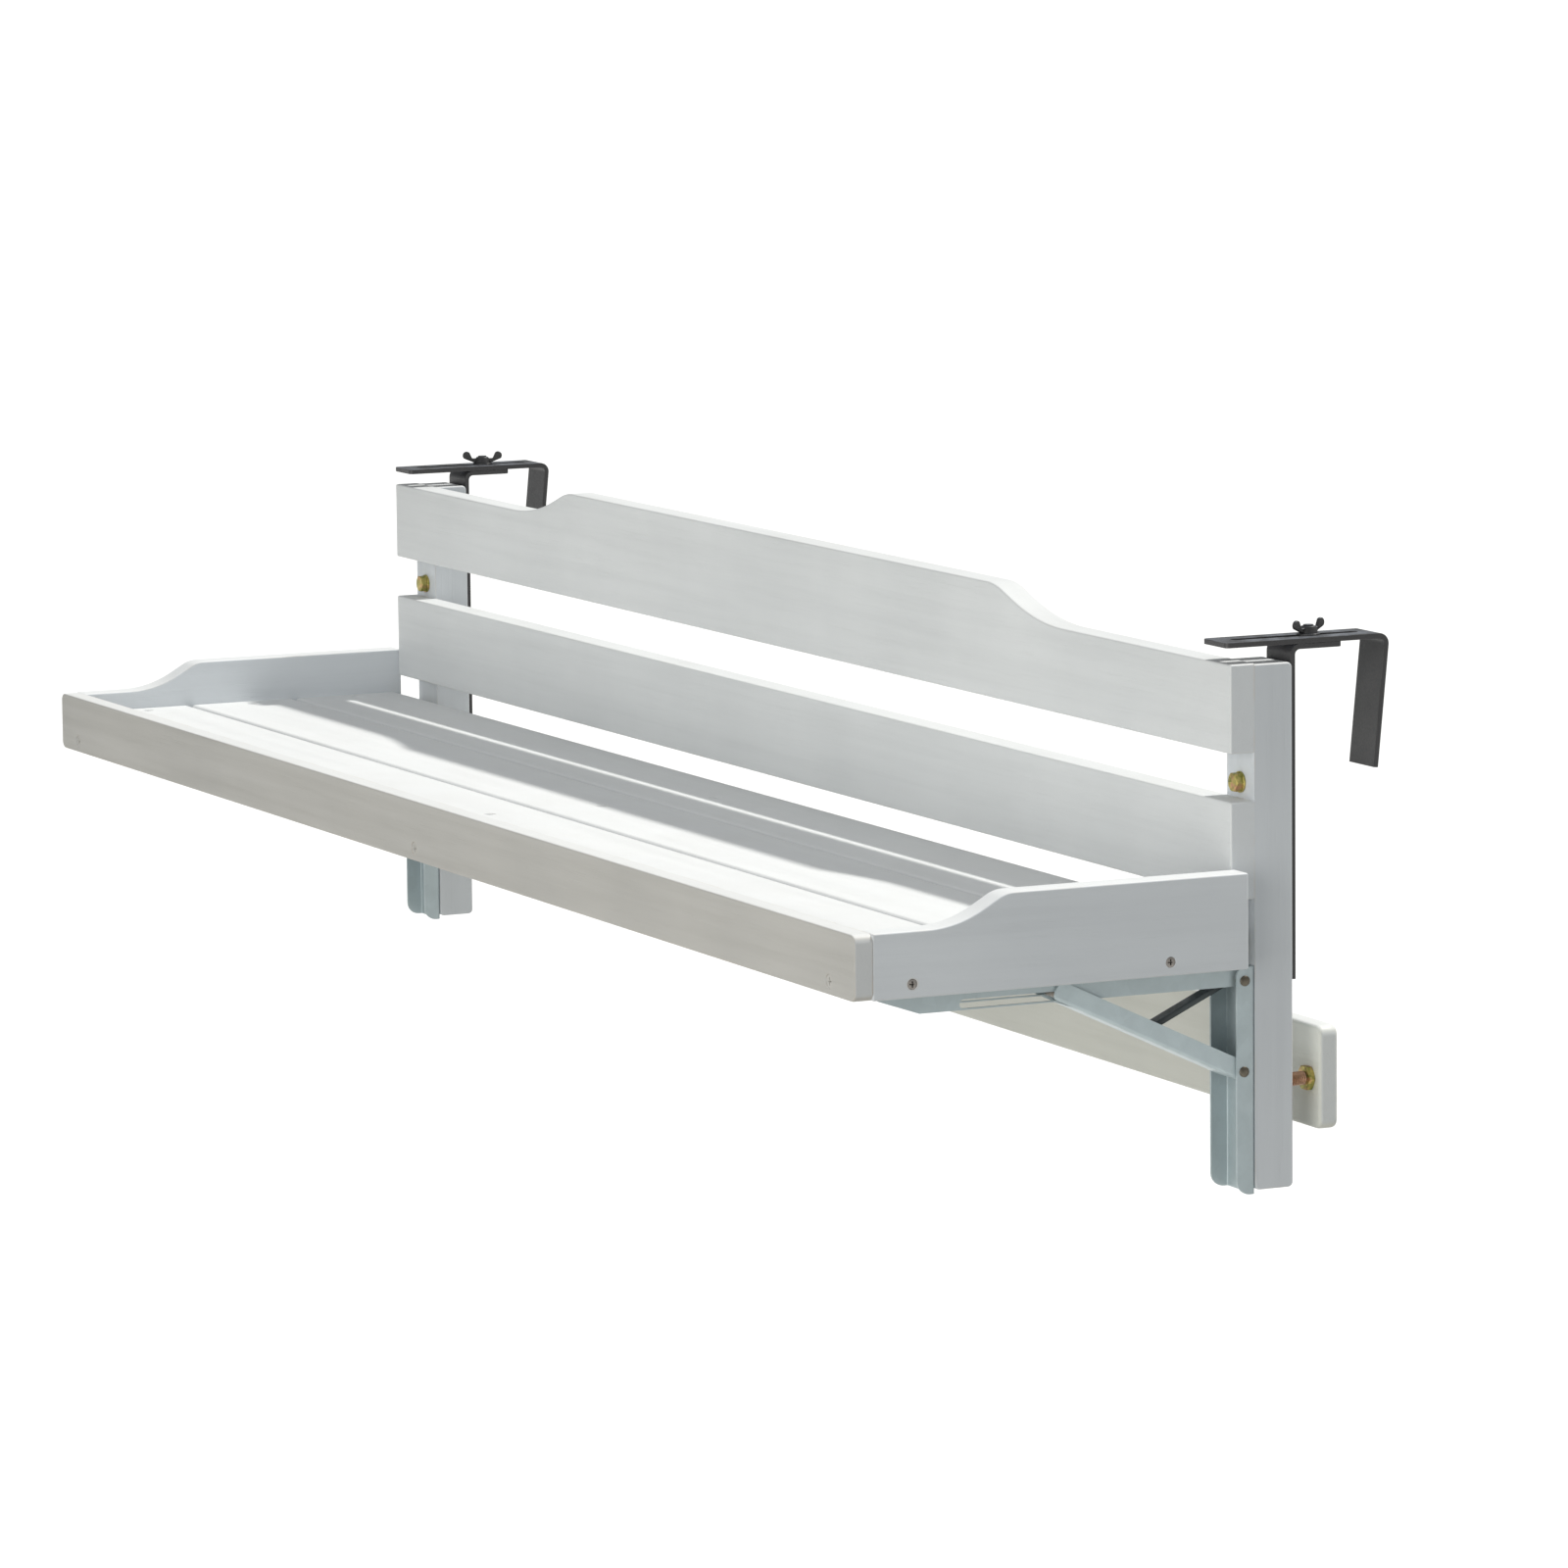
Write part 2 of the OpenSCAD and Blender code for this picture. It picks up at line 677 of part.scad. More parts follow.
module strap_bolts() {
    color([0.78, 0.66, 0.32])
    both() strap_bolt_places() {
        cylinder(h = post_d + bar_t, d = strap_bolt_dia);
        translate([0, 0, -washer_t - hex_head_h]) cylinder(h = hex_head_h, d = strap_hex_dia, $fn = 6);
        translate([0, 0, -washer_t - tiny]) cylinder(h = washer_t + 2 * tiny, d = strap_bolt_dia);
    }
}

module strap_washers() {
    color([0.80, 0.70, 0.40])
    both() strap_bolt_places() translate([0, 0, -washer_t]) difference() {
        cylinder(h = washer_t, d = washer_dia);
        translate([0, 0, -cut]) cylinder(h = washer_t + 2 * cut, d = strap_bolt_dia + 2 * run_fit);
    }
}

// Nuts sunk in the posts' back faces behind the straps.
module strap_nuts() {
    color([0.78, 0.66, 0.32])
    both() strap_bolt_places() translate([0, 0, post_d - hex_nut_h]) difference() {
        cylinder(h = hex_nut_h, d = strap_hex_dia, $fn = 6);
        translate([0, 0, -cut]) cylinder(h = hex_nut_h + 2 * cut, d = strap_bolt_dia + 2 * run_fit);
    }
}

// Right hook: slotted arm above the seat and a leaning leg behind the railing.
module hook_arm_right() {
    w = bar_w / 2;
    ya = clamp_y - hook_front;
    slot_r = clamp_dia / 2 + slot_play;
    color([0.24, 0.23, 0.23])
    translate([x_post, 0, 0]) difference() {
        side_plate(-w, bar_w) polygon(concat(hook_side(bend_r), hook_inside()));
        translate([0, 0, bar_t]) bar_corners(-w, w, ya, -1);
        bar_z(0, clamp_y - slot_front, 0, 3 * bar_t, 2 * slot_r);
        bar_z(0, clamp_y + slot_rear, 0, 3 * bar_t, 2 * slot_r);
        span([-slot_r, clamp_y - slot_front, 0], [slot_r, clamp_y + slot_rear, 3 * bar_t]);
    }
}

// One side of the hook's bent bar in side view, from the arm's front end to the leg's foot.
function hook_side(r) = let (
        yb = clamp_y + hook_throat + bar_t - bend_r,
        zb = 2 * bar_t - bend_r,
        s = hook_lean
    ) concat(
        [[clamp_y - hook_front, zb + r]],
        [for (i = [0 : bend_steps]) let (a = quarter - i * (quarter + s) / bend_steps)
            [yb + r * cos(a), zb + r * sin(a)]],
        [[yb + r * cos(s) - hook_leg * sin(s), zb - r * sin(s) - hook_leg * cos(s)]]
    );

// The inner side of the same outline, run back to the arm's front end.
function hook_inside() = let (
        p = hook_side(bend_r - bar_t),
        n = len(p) - 1
    ) [for (i = [0 : n]) p[n - i]];

module hook_arm_left() {
    mirror([1, 0, 0]) hook_arm_right();
}

// Right wing nut with its washer below it.
module wing_nut_right() {
    z0 = 2 * bar_t + clamp_washer_t;
    color([0.16, 0.16, 0.16])
    translate([x_post, clamp_y, z0]) difference() {
        union() {
            cylinder(h = hub_h, d1 = hub_dia, d2 = hub_top_dia);
            rotate([0, 0, wing_turn]) for (s = [0, half_turn]) {
                rotate([0, 0, s]) wing();
            }
        }
        translate([0, 0, -cut]) cylinder(h = hub_h + 2 * cut, d = clamp_dia + 2 * run_fit);
    }
}

// One wing along +X, rising from the hub to a rounded tip.
module wing() {
    xt = wing_span / 2 - wing_tip_r;
    zt = wing_h - wing_tip_r;
    xi = clamp_dia / 2 + 2 * run_fit;
    pts = [[xi, tiny], [hub_dia / 2, tiny], [xt + wing_tip_r * cos(45), zt - wing_tip_r * sin(45)],
        [xt - wing_tip_r * cos(45), zt + wing_tip_r * sin(45)], [xi, hub_h * wing_root_share]];
    translate([0, wing_t / 2, 0]) rotate([quarter, 0, 0]) linear_extrude(wing_t) polygon(pts);
    bar_y(xt, zt, -wing_t / 2, wing_t / 2, 2 * wing_tip_r);
}

module wing_nut_left() {
    mirror([1, 0, 0]) wing_nut_right();
}

module clamp_washers() {
    color([0.20, 0.20, 0.20])
    both() translate([x_post, clamp_y, 2 * bar_t]) difference() {
        cylinder(h = clamp_washer_t, d = clamp_washer_dia);
        translate([0, 0, -cut]) cylinder(h = clamp_washer_t + 2 * cut, d = clamp_dia);
    }
}

// Position of the right adjusting bolt, along +Y from the post's back face.
module adjust_place() {
    translate([adjust_x, y_back, z_stop + stop_h - adjust_drop]) rotate([-quarter, 0, 0]) children();
}

module post_inserts() {
    color([0.76, 0.68, 0.42])
    both() adjust_place() difference() {
        union() {
            translate([0, 0, -insert_len]) cylinder(h = insert_len, d = insert_dia);
            translate([0, 0, -insert_collar_t]) cylinder(h = insert_collar_t, d = insert_collar_dia);
        }
        translate([0, 0, -insert_len - cut]) cylinder(h = insert_len + 2 * cut, d = bolt_dia + 2 * run_fit);
    }
}

module stop_board() {
    y0 = y_back + stop_gap;
    y1 = y0 + stop_t;
    z0 = z_stop;
    z1 = z_stop + stop_h;
    color([0.86, 0.84, 0.80])
    difference() {
        intersection() {
            eased_board(-x_end, x_end, y0, y1, z0, z1, ease_r);
            union() {
                span([-x_end, y0, z0 + stop_corner_r], [x_end, y1, z1 - stop_corner_r]);
                span([-x_end + stop_corner_r, y0, z0], [x_end - stop_corner_r, y1, z1]);
                both() for (z = [z0 + stop_corner_r, z1 - stop_corner_r]) {
                    bar_y(x_end - stop_corner_r, z, y0, y1, 2 * stop_corner_r);
                }
            }
        }
        both() adjust_place() adjust_shape(cut);
    }
}

// Adjusting bolt: countersunk head in the stop board's back, shank into the post.
module adjust_shape(extra) {
    back = stop_gap + stop_t;
    sink = (adjust_head_dia - bolt_dia) / 2;
    translate([0, 0, -adjust_in]) cylinder(h = adjust_in + back, d = bolt_dia);
    translate([0, 0, back - sink]) cylinder(h = sink, d1 = bolt_dia, d2 = adjust_head_dia);
    translate([0, 0, back - tiny]) cylinder(h = extra + tiny, d = adjust_head_dia);
}

module adjust_bolts() {
    color([0.80, 0.62, 0.42])
    both() adjust_place() adjust_shape(0);
}

// Lock nuts in front of the stop board.
module adjust_nuts() {
    color([0.80, 0.68, 0.34])
    both() adjust_place() translate([0, 0, stop_gap - lock_nut_h]) difference() {
        cylinder(h = lock_nut_h, d = hex_dia, $fn = 6);
        translate([0, 0, -cut]) cylinder(h = lock_nut_h + 2 * cut, d = bolt_dia);
    }
}

// Positions of the lip screws, along +Y from the lip's front face.
module lip_screw_places() {
    for (x = [-x_batten, 0, x_batten]) {
        translate([x, y_lip - lip_t, z_shelf + rim_screw_up]) rotate([-quarter, 0, 0]) children();
    }
}

// Positions of the right cheek's screws, toward the middle of the shelf.
module cheek_screw_places() {
    for (y = [y_lip + cheek_screw_in[0], y_slat - cheek_screw_in[1]]) {
        translate([x_cheek + cheek_t, y, z_shelf + rim_screw_up]) rotate([0, -quarter, 0]) children();
    }
}

// Positions of the slat screws, straight down into the battens.
module slat_screw_places() {
    for (x = [-x_batten, 0, x_batten]) {
        for (n = [0 : 2]) {
            y = y_slat - slat_w / 2 - n * (slat_w + slat_gap) + slat_gap;
            translate([x, y, z_slat + slat_t]) rotate([half_turn, 0, 0]) children();
        }
    }
}

// Positions of the right arm's screws, straight up into the batten.
module arm_screw_places() {
    for (d = arm_screw_at) {
        translate([x_post, y_front - d, z_shelf - flange_t]) children();
    }
}

module front_lip() {
    x1 = x_cheek + cheek_t;
    color([0.70, 0.70, 0.69])
    difference() {
        eased_board(-x1, x1, y_lip - lip_t, y_lip, z_shelf, z_shelf + lip_h, ease_r);
        lip_screw_places() sunk_hole(lip_screw_len);
    }
}

// Outline of a cheek in side view, with its curve rising to the back.
module cheek_blank() {
    s = cheek_slope;
    x0 = x_cheek;
    x1 = x_cheek + cheek_t;
    rise = cheek_back_h - cheek_front_h;
    up_in = cheek_r_in * (1 - cos(s));
    up_out = cheek_r_out * (1 - cos(s));
    run = (rise - up_in - up_out) / tan(s);
    ya = y_lip + cheek_low_len;
    yb = ya + cheek_r_in * sin(s);
    yc = yb + run;
    yd = yc + cheek_r_out * sin(s);
    zf = z_shelf + cheek_front_h;
    zb = zf + up_in;
    zc = zb + rise - up_in - up_out;
    zt = z_shelf + cheek_back_h;
    span([x0, y_lip, z_shelf], [x1, y_front + cheek_back, zf]);
    span([x0, yd, zf - cut], [x1, y_front + cheek_back, zt]);
    intersection() {
        bar_x(x0, x1, yd, zt - cheek_r_out, 2 * cheek_r_out, 96);
        span([x0, yc, zc - cut], [x1, yd + tiny, zt + cut]);
    }
    side_plate(x0, cheek_t) polygon([[yb, zf - cut], [yb, zb], [yc, zc], [yd, zc], [yd, zf - cut]]);
    difference() {
        span([x0, ya, zf - cut], [x1, yb + tiny, zb]);
        bar_x(x0 - cut, x1 + cut, ya, zf + cheek_r_in, 2 * cheek_r_in, 180);
    }
}

module cheek_right() {
    color([0.66, 0.68, 0.69])
    difference() {
        cheek_blank();
        cheek_screw_places() sunk_hole(rim_screw_len);
    }
}

module cheek_left() {
    mirror([1, 0, 0]) cheek_right();
}

// Slat number n from the back, its upper long edges eased.
module slat(n) {
    y1 = y_slat - n * (slat_w + slat_gap);
    y0 = y1 - slat_w;
    z1 = z_slat + slat_t;
    r = slat_ease_r;
    difference() {
        union() {
            span([-x_cheek, y0, z_slat], [x_cheek, y1, z1 - r]);
            span([-x_cheek, y0 + r, z_slat], [x_cheek, y1 - r, z1]);
            for (y = [y0 + r, y1 - r]) {
                bar_x(-x_cheek, x_cheek, y, z1 - r, 2 * r);
            }
        }
        slat_screw_places() sunk_hole(slat_screw_len);
    }
}

module slat_back() {
    color([0.90, 0.90, 0.88]) slat(0);
}

module slat_middle() {
    color([0.90, 0.90, 0.88]) slat(1);
}

module slat_front() {
    color([0.90, 0.90, 0.88]) slat(2);
}

// Batten centred at x, from the back edge of the slats to the lip.
module batten(x) {
    difference() {
        span([x - batten_w / 2, y_lip, z_shelf], [x + batten_w / 2, y_slat, z_slat]);
        slat_screw_places() sunk_hole(slat_screw_len);
        lip_screw_places() sunk_hole(lip_screw_len);
        both() cheek_screw_places() sunk_hole(rim_screw_len);
        both() arm_screw_places() cylinder(h = arm_screw_len, d = screw_dia);
    }
}

module batten_left() {
    color([0.72, 0.72, 0.70]) batten(-x_batten);
}

module batten_centre() {
    color([0.72, 0.72, 0.70]) batten(0);
}

module batten_right() {
    color([0.72, 0.72, 0.70]) batten(x_batten);
}

module lip_screws() {
    color([0.70, 0.68, 0.62]) lip_screw_places() sunk_screw(lip_screw_len);
}

module cheek_screws() {
    color([0.70, 0.68, 0.62]) both() cheek_screw_places() sunk_screw(rim_screw_len);
}

module slat_screws() {
    color([0.70, 0.68, 0.62]) slat_screw_places() sunk_screw(slat_screw_len);
}

module arm_screws() {
    color([0.62, 0.62, 0.60])
    both() arm_screw_places() {
        cylinder(h = arm_screw_len - dish, d = screw_dia);
        translate([0, 0, -pan_h]) cylinder(h = pan_h, d = screw_head_dia);
    }
}

// Right arm channel: web under the batten, flanges down, slots for the slide pin.
module arm_channel_right() {
    zw = z_shelf - flange_t;
    zl = z_shelf - arm_h;
    yt = y_front - arm_len;
    out = [[y_front - arm_web_start, z_shelf], [yt, z_shelf], [yt, z_shelf - arm_tip_h],
        [yt + arm_bevel, zl], [y_hinge, zl], [y_hinge, z_hinge + arm_end_r]];
    color([0.58, 0.62, 0.62])
    difference() {
        union() {
            span([x_post - arm_half, yt, zw], [x_post + arm_half, y_front - arm_web_start, z_shelf]);
            for (x = [x_post - arm_half, x_post + arm_half_in]) {
                side_plate(x, flange_t) polygon(out);
                bar_x(x, x + flange_t, y_hinge, z_hinge, 2 * arm_end_r);
            }
        }
        bar_x(x_post - wall_w, x_post + wall_w, y_hinge, z_hinge, pin_dia + 2 * run_fit);
        slot_room(slot_near - slot_spare, slot_far + slot_spare);
        arm_screw_places() translate([0, 0, -cut]) cylinder(h = flange_t + 2 * cut, d = screw_dia);
    }
}

// Slots in both flanges of the arm, measured forward from the hinge.
module slot_room(a, b) {
    d = slide_dia + 2 * run_fit;
    w = wall_w / 2;
    bar_x(x_post - w, x_post + w, y_hinge - a, z_hinge, d);
    bar_x(x_post - w, x_post + w, y_hinge - b, z_hinge, d);
    span([x_post - w, y_hinge - b, z_hinge - d / 2], [x_post + w, y_hinge - a, z_hinge + d / 2]);
}

module arm_channel_left() {
    mirror([1, 0, 0]) arm_channel_right();
}

// Slide pin in the arm's slots, thicker between the flanges so that it stays in.
module slide_pin_right() {
    y = y_hinge - slot_near;
    out = brace_half_in - nest_play / 2;
    mid = arm_half_in - end_play * 2;
    color([0.70, 0.71, 0.70]) {
        bar_x(x_post - out, x_post + out, y, z_hinge, slide_dia);
        bar_x(x_post - mid, x_post + mid, y, z_hinge, slide_mid_dia);
    }
}

module slide_pin_left() {
    mirror([1, 0, 0]) slide_pin_right();
}

// Right brace: channel from the wall rivets up to the arm, web on its lower side.
module brace_right() {
    color([0.60, 0.64, 0.64])
    translate([x_post, y_brace, z_brace]) rotate([-brace_rise, 0, 0]) difference() {
        union() {
            span([-brace_half, brace_web_out - brace_len, -brace_web_out],
                [brace_half, 0, brace_web_t - brace_web_out]);
            for (x = [-brace_half, brace_half_in]) {
                side_plate(x, flange_t) polygon(brace_outline());
                bar_x(x, x + flange_t, 0, 0, 2 * brace_web_out);
            }
        }
        bar_x(-wall_w, wall_w, 0, 0, pin_dia + 2 * run_fit);
    }
}

// Side outline of the brace before it is tilted, from the rivets forward and round its end.
function brace_outline() = concat(
    [[0, -brace_web_out]],
    brace_end(-asin(brace_web_out / brace_end_r), asin(brace_edge / brace_end_r)),
    [[-brace_web_out, brace_edge], [0, brace_web_out - tiny]]
);

// Arc around the slide pin from the lower to the upper edge of the brace.
function brace_end(low, high) = [
    for (n = [0:bend_steps])
        let (a = low + (high - low) * n / bend_steps)
            [-brace_len - brace_end_r * cos(a), brace_end_r * sin(a)]
];

module brace_left() {
    mirror([1, 0, 0]) brace_right();
}

// Right stay: bar from the hinge pin down to the brace's web, with a round foot.
module stay_right() {
    x0 = -stay_w / 2;
    x1 = stay_w / 2;
    color([0.26, 0.28, 0.28])
    translate([x_post, y_hinge, z_hinge]) rotate([stay_angle, 0, 0]) difference() {
        union() {
            span([x0, -stay_len, -stay_t / 2], [x1, 0, stay_t / 2]);
            bar_x(x0, x1, 0, 0, 2 * stay_eye_r);
            bar_x(x0, x1, -stay_len, 0, 2 * stay_foot_r);
        }
        bar_x(x0 - cut, x1 + cut, 0, 0, pin_dia + 2 * run_fit);
    }
}

module stay_left() {
    mirror([1, 0, 0]) stay_right();
}

post_left();
post_right();
top_board();
lower_board();
board_screws();
wall_channel_left();
wall_channel_right();
wall_screws();
hinge_pins();
hinge_spacers();
brace_rivets();
hook_strap_left();
hook_strap_right();
clamp_bolts();
strap_bolts();
strap_washers();
strap_nuts();
post_inserts();
hook_arm_left();
hook_arm_right();
clamp_washers();
wing_nut_left();
wing_nut_right();
stop_board();
adjust_bolts();
adjust_nuts();
front_lip();
cheek_left();
cheek_right();
slat_back();
slat_middle();
slat_front();
batten_left();
batten_centre();
batten_right();
lip_screws();
cheek_screws();
slat_screws();
arm_screws();
arm_channel_left();
arm_channel_right();
slide_pin_left();
slide_pin_right();
brace_left();
brace_right();
stay_left();
stay_right();
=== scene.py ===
import json
import math

import bmesh
import bpy
from bpy.props import FloatProperty, FloatVectorProperty, PointerProperty
from mathutils import Matrix, Vector


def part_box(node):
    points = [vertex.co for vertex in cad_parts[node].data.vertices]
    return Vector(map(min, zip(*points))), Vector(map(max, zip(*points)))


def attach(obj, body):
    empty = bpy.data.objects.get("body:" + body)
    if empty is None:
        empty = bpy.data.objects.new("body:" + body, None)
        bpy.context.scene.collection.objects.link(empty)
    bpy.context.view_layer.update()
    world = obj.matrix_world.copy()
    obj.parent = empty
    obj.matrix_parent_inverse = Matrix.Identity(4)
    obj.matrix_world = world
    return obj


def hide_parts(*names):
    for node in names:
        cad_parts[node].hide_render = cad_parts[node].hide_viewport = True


bl_info = {
    "name": "Balcony railing bar table",
    "version": (1, 0, 0),
    "blender": (4, 5, 0),
    "location": "View3D > Sidebar > Bar table",
    "description": "Dresses the folding bar table's frame with timber, steel and fasteners",
    "category": "Object",
}

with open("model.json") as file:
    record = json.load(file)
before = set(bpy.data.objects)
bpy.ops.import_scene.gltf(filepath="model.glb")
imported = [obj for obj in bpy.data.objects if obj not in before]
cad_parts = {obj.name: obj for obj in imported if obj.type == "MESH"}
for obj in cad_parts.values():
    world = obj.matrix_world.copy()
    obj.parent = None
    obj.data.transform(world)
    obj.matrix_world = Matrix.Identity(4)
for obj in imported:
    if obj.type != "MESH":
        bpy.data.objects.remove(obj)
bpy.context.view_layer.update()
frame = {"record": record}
RECORD = frame["record"]
BODY_OF = {node: body for body, nodes in RECORD["behaviour"]["bodies"].items() for node in nodes}

# Smoothness of round shapes
ROUND = 40
FINE_ROUND = 64
ARC_STEPS = 12
HOOK_BEND_STEPS = 20
WING_TIP_STEPS = 10
BAR_CORNER_STEPS = 8
CORNER_STEPS = 6
FOLD_STEPS = 5
THREAD_SIDES = 28
THREAD_ROWS = 8
ALMOST_ZERO = 1e-7

# Degrees above which an edge counts as sharp, in general and on flat steel
SHARP_ANGLE = 34
STEEL_SHARP_ANGLE = 50

# How far cutters reach past the faces that they cut
OVERRUN = 0.002
SHORT_OVERRUN = 0.001

# Directions along the frame's axes, and the mirror that gives the left end
RIGHT = (1, 0, 0)
LEFT = (-1, 0, 0)
REAR = (0, 1, 0)
FRONT = (0, -1, 0)
UP = (0, 0, 1)
DOWN = (0, 0, -1)
MIRROR = Matrix.Scale(-1, 4, RIGHT)

# Timber sizes that a node's box doesn't give
TOP_RISE = 0.0184
RISE_HALF = 0.3
SHOULDER_SLOPE = 18.5
SHOULDER_R_OUT = 0.06
SHOULDER_R_IN = 0.2
CHEEK_FRONT_H = 0.037
CHEEK_LOW_LEN = 0.033
CHEEK_SLOPE = 30
CHEEK_R_IN = 0.07
CHEEK_R_OUT = 0.02
POST_CORNER_R = 0.003
STOP_CORNER_R = 0.006
BOARD_SCREW_IN = 0.013

# Folding bracket sizes
SHEET_T = 0.0015
WALL_WEB_T = 0.0012
BRACE_WEB_T = 0.001
WALL_CORNER_R = 0.005
WALL_FOOT_R = 0.008
BRACE_WEB_OUT = 0.0053
BRACE_EDGE = 0.0056
BRACE_END_R = 0.0088
ARM_BEVEL = 0.025
ARM_H = 0.0126
ARM_TIP_H = 0.004
ARM_WEB_START = 0.003
ARM_END_R = 0.0046
PIN_R = 0.002
PIN_HEAD_R = 0.003
PIN_HEAD_H = 0.0012
RUN_FIT = 0.00005
SLIDE_R = 0.0025
SLIDE_MID_R = 0.0035
SLOT_LONG = 0.0641
STAY_T = 0.0035
STAY_EYE_R = 0.0042
STAY_FOOT_R = 0.0033
STAY_EASE = 0.0009
ARM_LOW_END = 0.003
ARM_HOLE_SPAN = (-0.003, 0.004)
SLOT_PAST_PIN = 0.001
SPACER_R = 0.004
TURNED_EASE = 0.0004
RING_EASE = 0.0001
DOME_RIM_SHARE = 0.35
DOME_ANGLES = (0, 25, 50, 70)

# Hook sizes
BAR_T = 0.003
BEND_R = 0.006
BAR_CORNER_R = 0.003
HOOK_LEAN = 5.7
HOOK_LEG = 0.0692
SLOT_FRONT = 0.046
SLOT_REAR = 0.028
SLOT_R = 0.0031
CLAMP_R = 0.003
CLAMP_HEAD_R = 0.0055
HUB_R = 0.0055
HUB_TOP_R = 0.0043
HUB_H = 0.004
WING_HALF = 0.0135
WING_H = 0.0078
WING_T = 0.0022
WING_TIP_R = 0.0028
WING_TURN = 113
WING_EASE = 0.0006
WING_ROOT_OUT = 0.0003
WING_ROOT_UP = 0.0001
WING_ROOT_SHARE = 0.8
WING_SADDLE_SHARE = 0.78
CLAMP_RECESS = 0.0018
CLAMP_THREAD_DEPTH = 0.0004
CLAMP_PITCH_SHARE = 0.8

# Bolt and screw sizes
BOLT_R = 0.004
STRAP_BOLT_R = 0.003
STRAP_FLATS = 0.01
HEX_HEAD_H = 0.004
HEX_NUT_H = 0.005
WASHER_R = 0.006
WASHER_T = 0.0014
LOCK_FLATS = 0.013
LOCK_NUT_H = 0.004
ADJUST_HEAD_R = 0.0075
ADJUST_IN = 0.0145
STOP_GAP = 0.017
INSERT_R = 0.006
INSERT_COLLAR_R = 0.008
INSERT_COLLAR_T = 0.0015
INSERT_LEN = 0.012
SCREW_R = 0.002
SCREW_HEAD_R = 0.004
SMALL_SCREW_SHARE = 0.7
CHEEK_SCREW_SHARE = 0.8
BOARD_SCREW_LEN = 0.034
CHEEK_SCREW_LEN = 0.04
LIP_SCREW_LEN = 0.03
SLAT_SCREW_LEN = 0.022
ARM_SCREW_LEN = 0.014
WALL_SCREW_LEN = 0.02
PAN_H = 0.002
WALL_SCREW_AT = (0.0435, 0.0965)
WALL_SMALL_AT = 0.1115
SCREW_SUNK = 0.0003
SCREW_EDGE_IN = 0.0004
SCREW_RIM_IN = 0.0001
SCREW_RIM_H = 0.0002
SCREW_RECESS = 0.0019
PAN_RECESS = 0.0014
ADJUST_RECESS = 0.0024
RECESS_ARM_SHARE = 0.56
RECESS_WIDTH_SHARE = 0.13
RECESS_HEAD_SHARE = 0.8
RECESS_MOUTH_SHARE = 1.15
RECESS_FLOOR_SHARE = 0.42
BOLT_THREAD_DEPTH = 0.0006
WASHER_EASE = 0.0002
HEX_CHAMFER_H = 0.0007
HEX_FACE_SHARE = 0.97
HEX_CLEAR = 0.0002
RIM_SCREW_UP = 0.0077
CHEEK_SCREW_IN = (0.024, 0.0435)
ARM_SCREW_AT = (0.066, 0.138, 0.176)
SLAT_SCREW_SHIFT = 0.002

# Colours of the finishes beside the settings, and shares that darken or lighten a colour
TIMBER_DUST = (0.62, 0.60, 0.55, 1)
STAIN_CLOUD = (0.42, 0.44, 0.46, 1)
GRAIN_SHADE = 0.80
END_GRAIN_SHADE = 0.96
RUBBED_ZINC = (0.74, 0.76, 0.74, 1)
YELLOW_DARK = (0.20, 0.22, 0.05, 1)
PINK_CAST = (0.62, 0.30, 0.20, 1)
COPPER = (0.42, 0.25, 0.16)
# Partly dust, partly a painted bluish reflection of the sky on the coats' upward faces
COAT_DUST_AND_SKY_SHEEN = (0.24, 0.26, 0.30, 1)
RUBBED_STEEL = (0.30, 0.29, 0.28, 1)
COAT_SHADE = 0.72
CLAMP_COAT_SHADE = 0.55
BRACE_ZINC_SHADE = 1.12
PAINT_SHADE = 0.95
PAINT_THIN_SHADE = 0.6

# Shares of figure, lines and pores in the timber's grain, and of cells and marks in the zinc
FIGURE_SHARE = 0.35
LINE_SHARE = 0.45
PORE_SHARE = 0.2
LINE_DEPTH = 0.35
PORE_DEPTH = 0.5
CELL_SHARE = 0.3
MARK_SHARE = 0.7

# Sockets of a colour mix node: its factor and two colours, and its result
MIX_INPUTS = (0, 6, 7)
MIX_RESULT = 2

# Stage colours and the camera's sensor width in millimetres
WHITE = (1, 1, 1, 1)
FLOOR_DARK = (0.34, 0.335, 0.32, 1)
FLOOR_PALE = (0.36, 0.355, 0.34, 1)
KEY_TINT = (1, 0.985, 0.95)
PANEL_TINT = (1, 0.985, 0.955)
SENSOR_WIDTH = 36

# Places read from the frame
TOP_LO, TOP_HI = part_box("top_board")
LOW_LO, LOW_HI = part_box("lower_board")
POST_LO, POST_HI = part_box("post_right")
LIP_LO, LIP_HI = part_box("front_lip")
CHEEK_LO, CHEEK_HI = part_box("cheek_right")
SLAT_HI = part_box("slat_back")[1]
BATTEN_LO, BATTEN_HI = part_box("batten_right")
STOP_LO, STOP_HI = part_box("stop_board")
WALL_LO, WALL_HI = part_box("wall_channel_right")
ARM_LO, ARM_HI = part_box("arm_channel_right")
BRACE_LO, BRACE_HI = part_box("brace_right")
STAY_LO, STAY_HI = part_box("stay_right")
STRAP_LO, STRAP_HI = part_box("hook_strap_right")
HOOK_LO, HOOK_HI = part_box("hook_arm_right")
WING_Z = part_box("wing_nut_right")[0].z
CLAMP_LO, CLAMP_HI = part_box("clamp_washers")
CLAMP_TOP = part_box("clamp_bolts")[1].z
X_END = TOP_HI.x
X_POST = (POST_LO.x + POST_HI.x) / 2
X_BATTEN = (BATTEN_LO.x + BATTEN_HI.x) / 2
X_BATTENS = (-X_BATTEN, 0, X_BATTEN)
Y_FRONT = TOP_LO.y
Y_POST = POST_LO.y
Y_BACK = POST_HI.y
Z_SHELF = LIP_LO.z
Z_TOP_LEVEL = TOP_HI.z - TOP_RISE
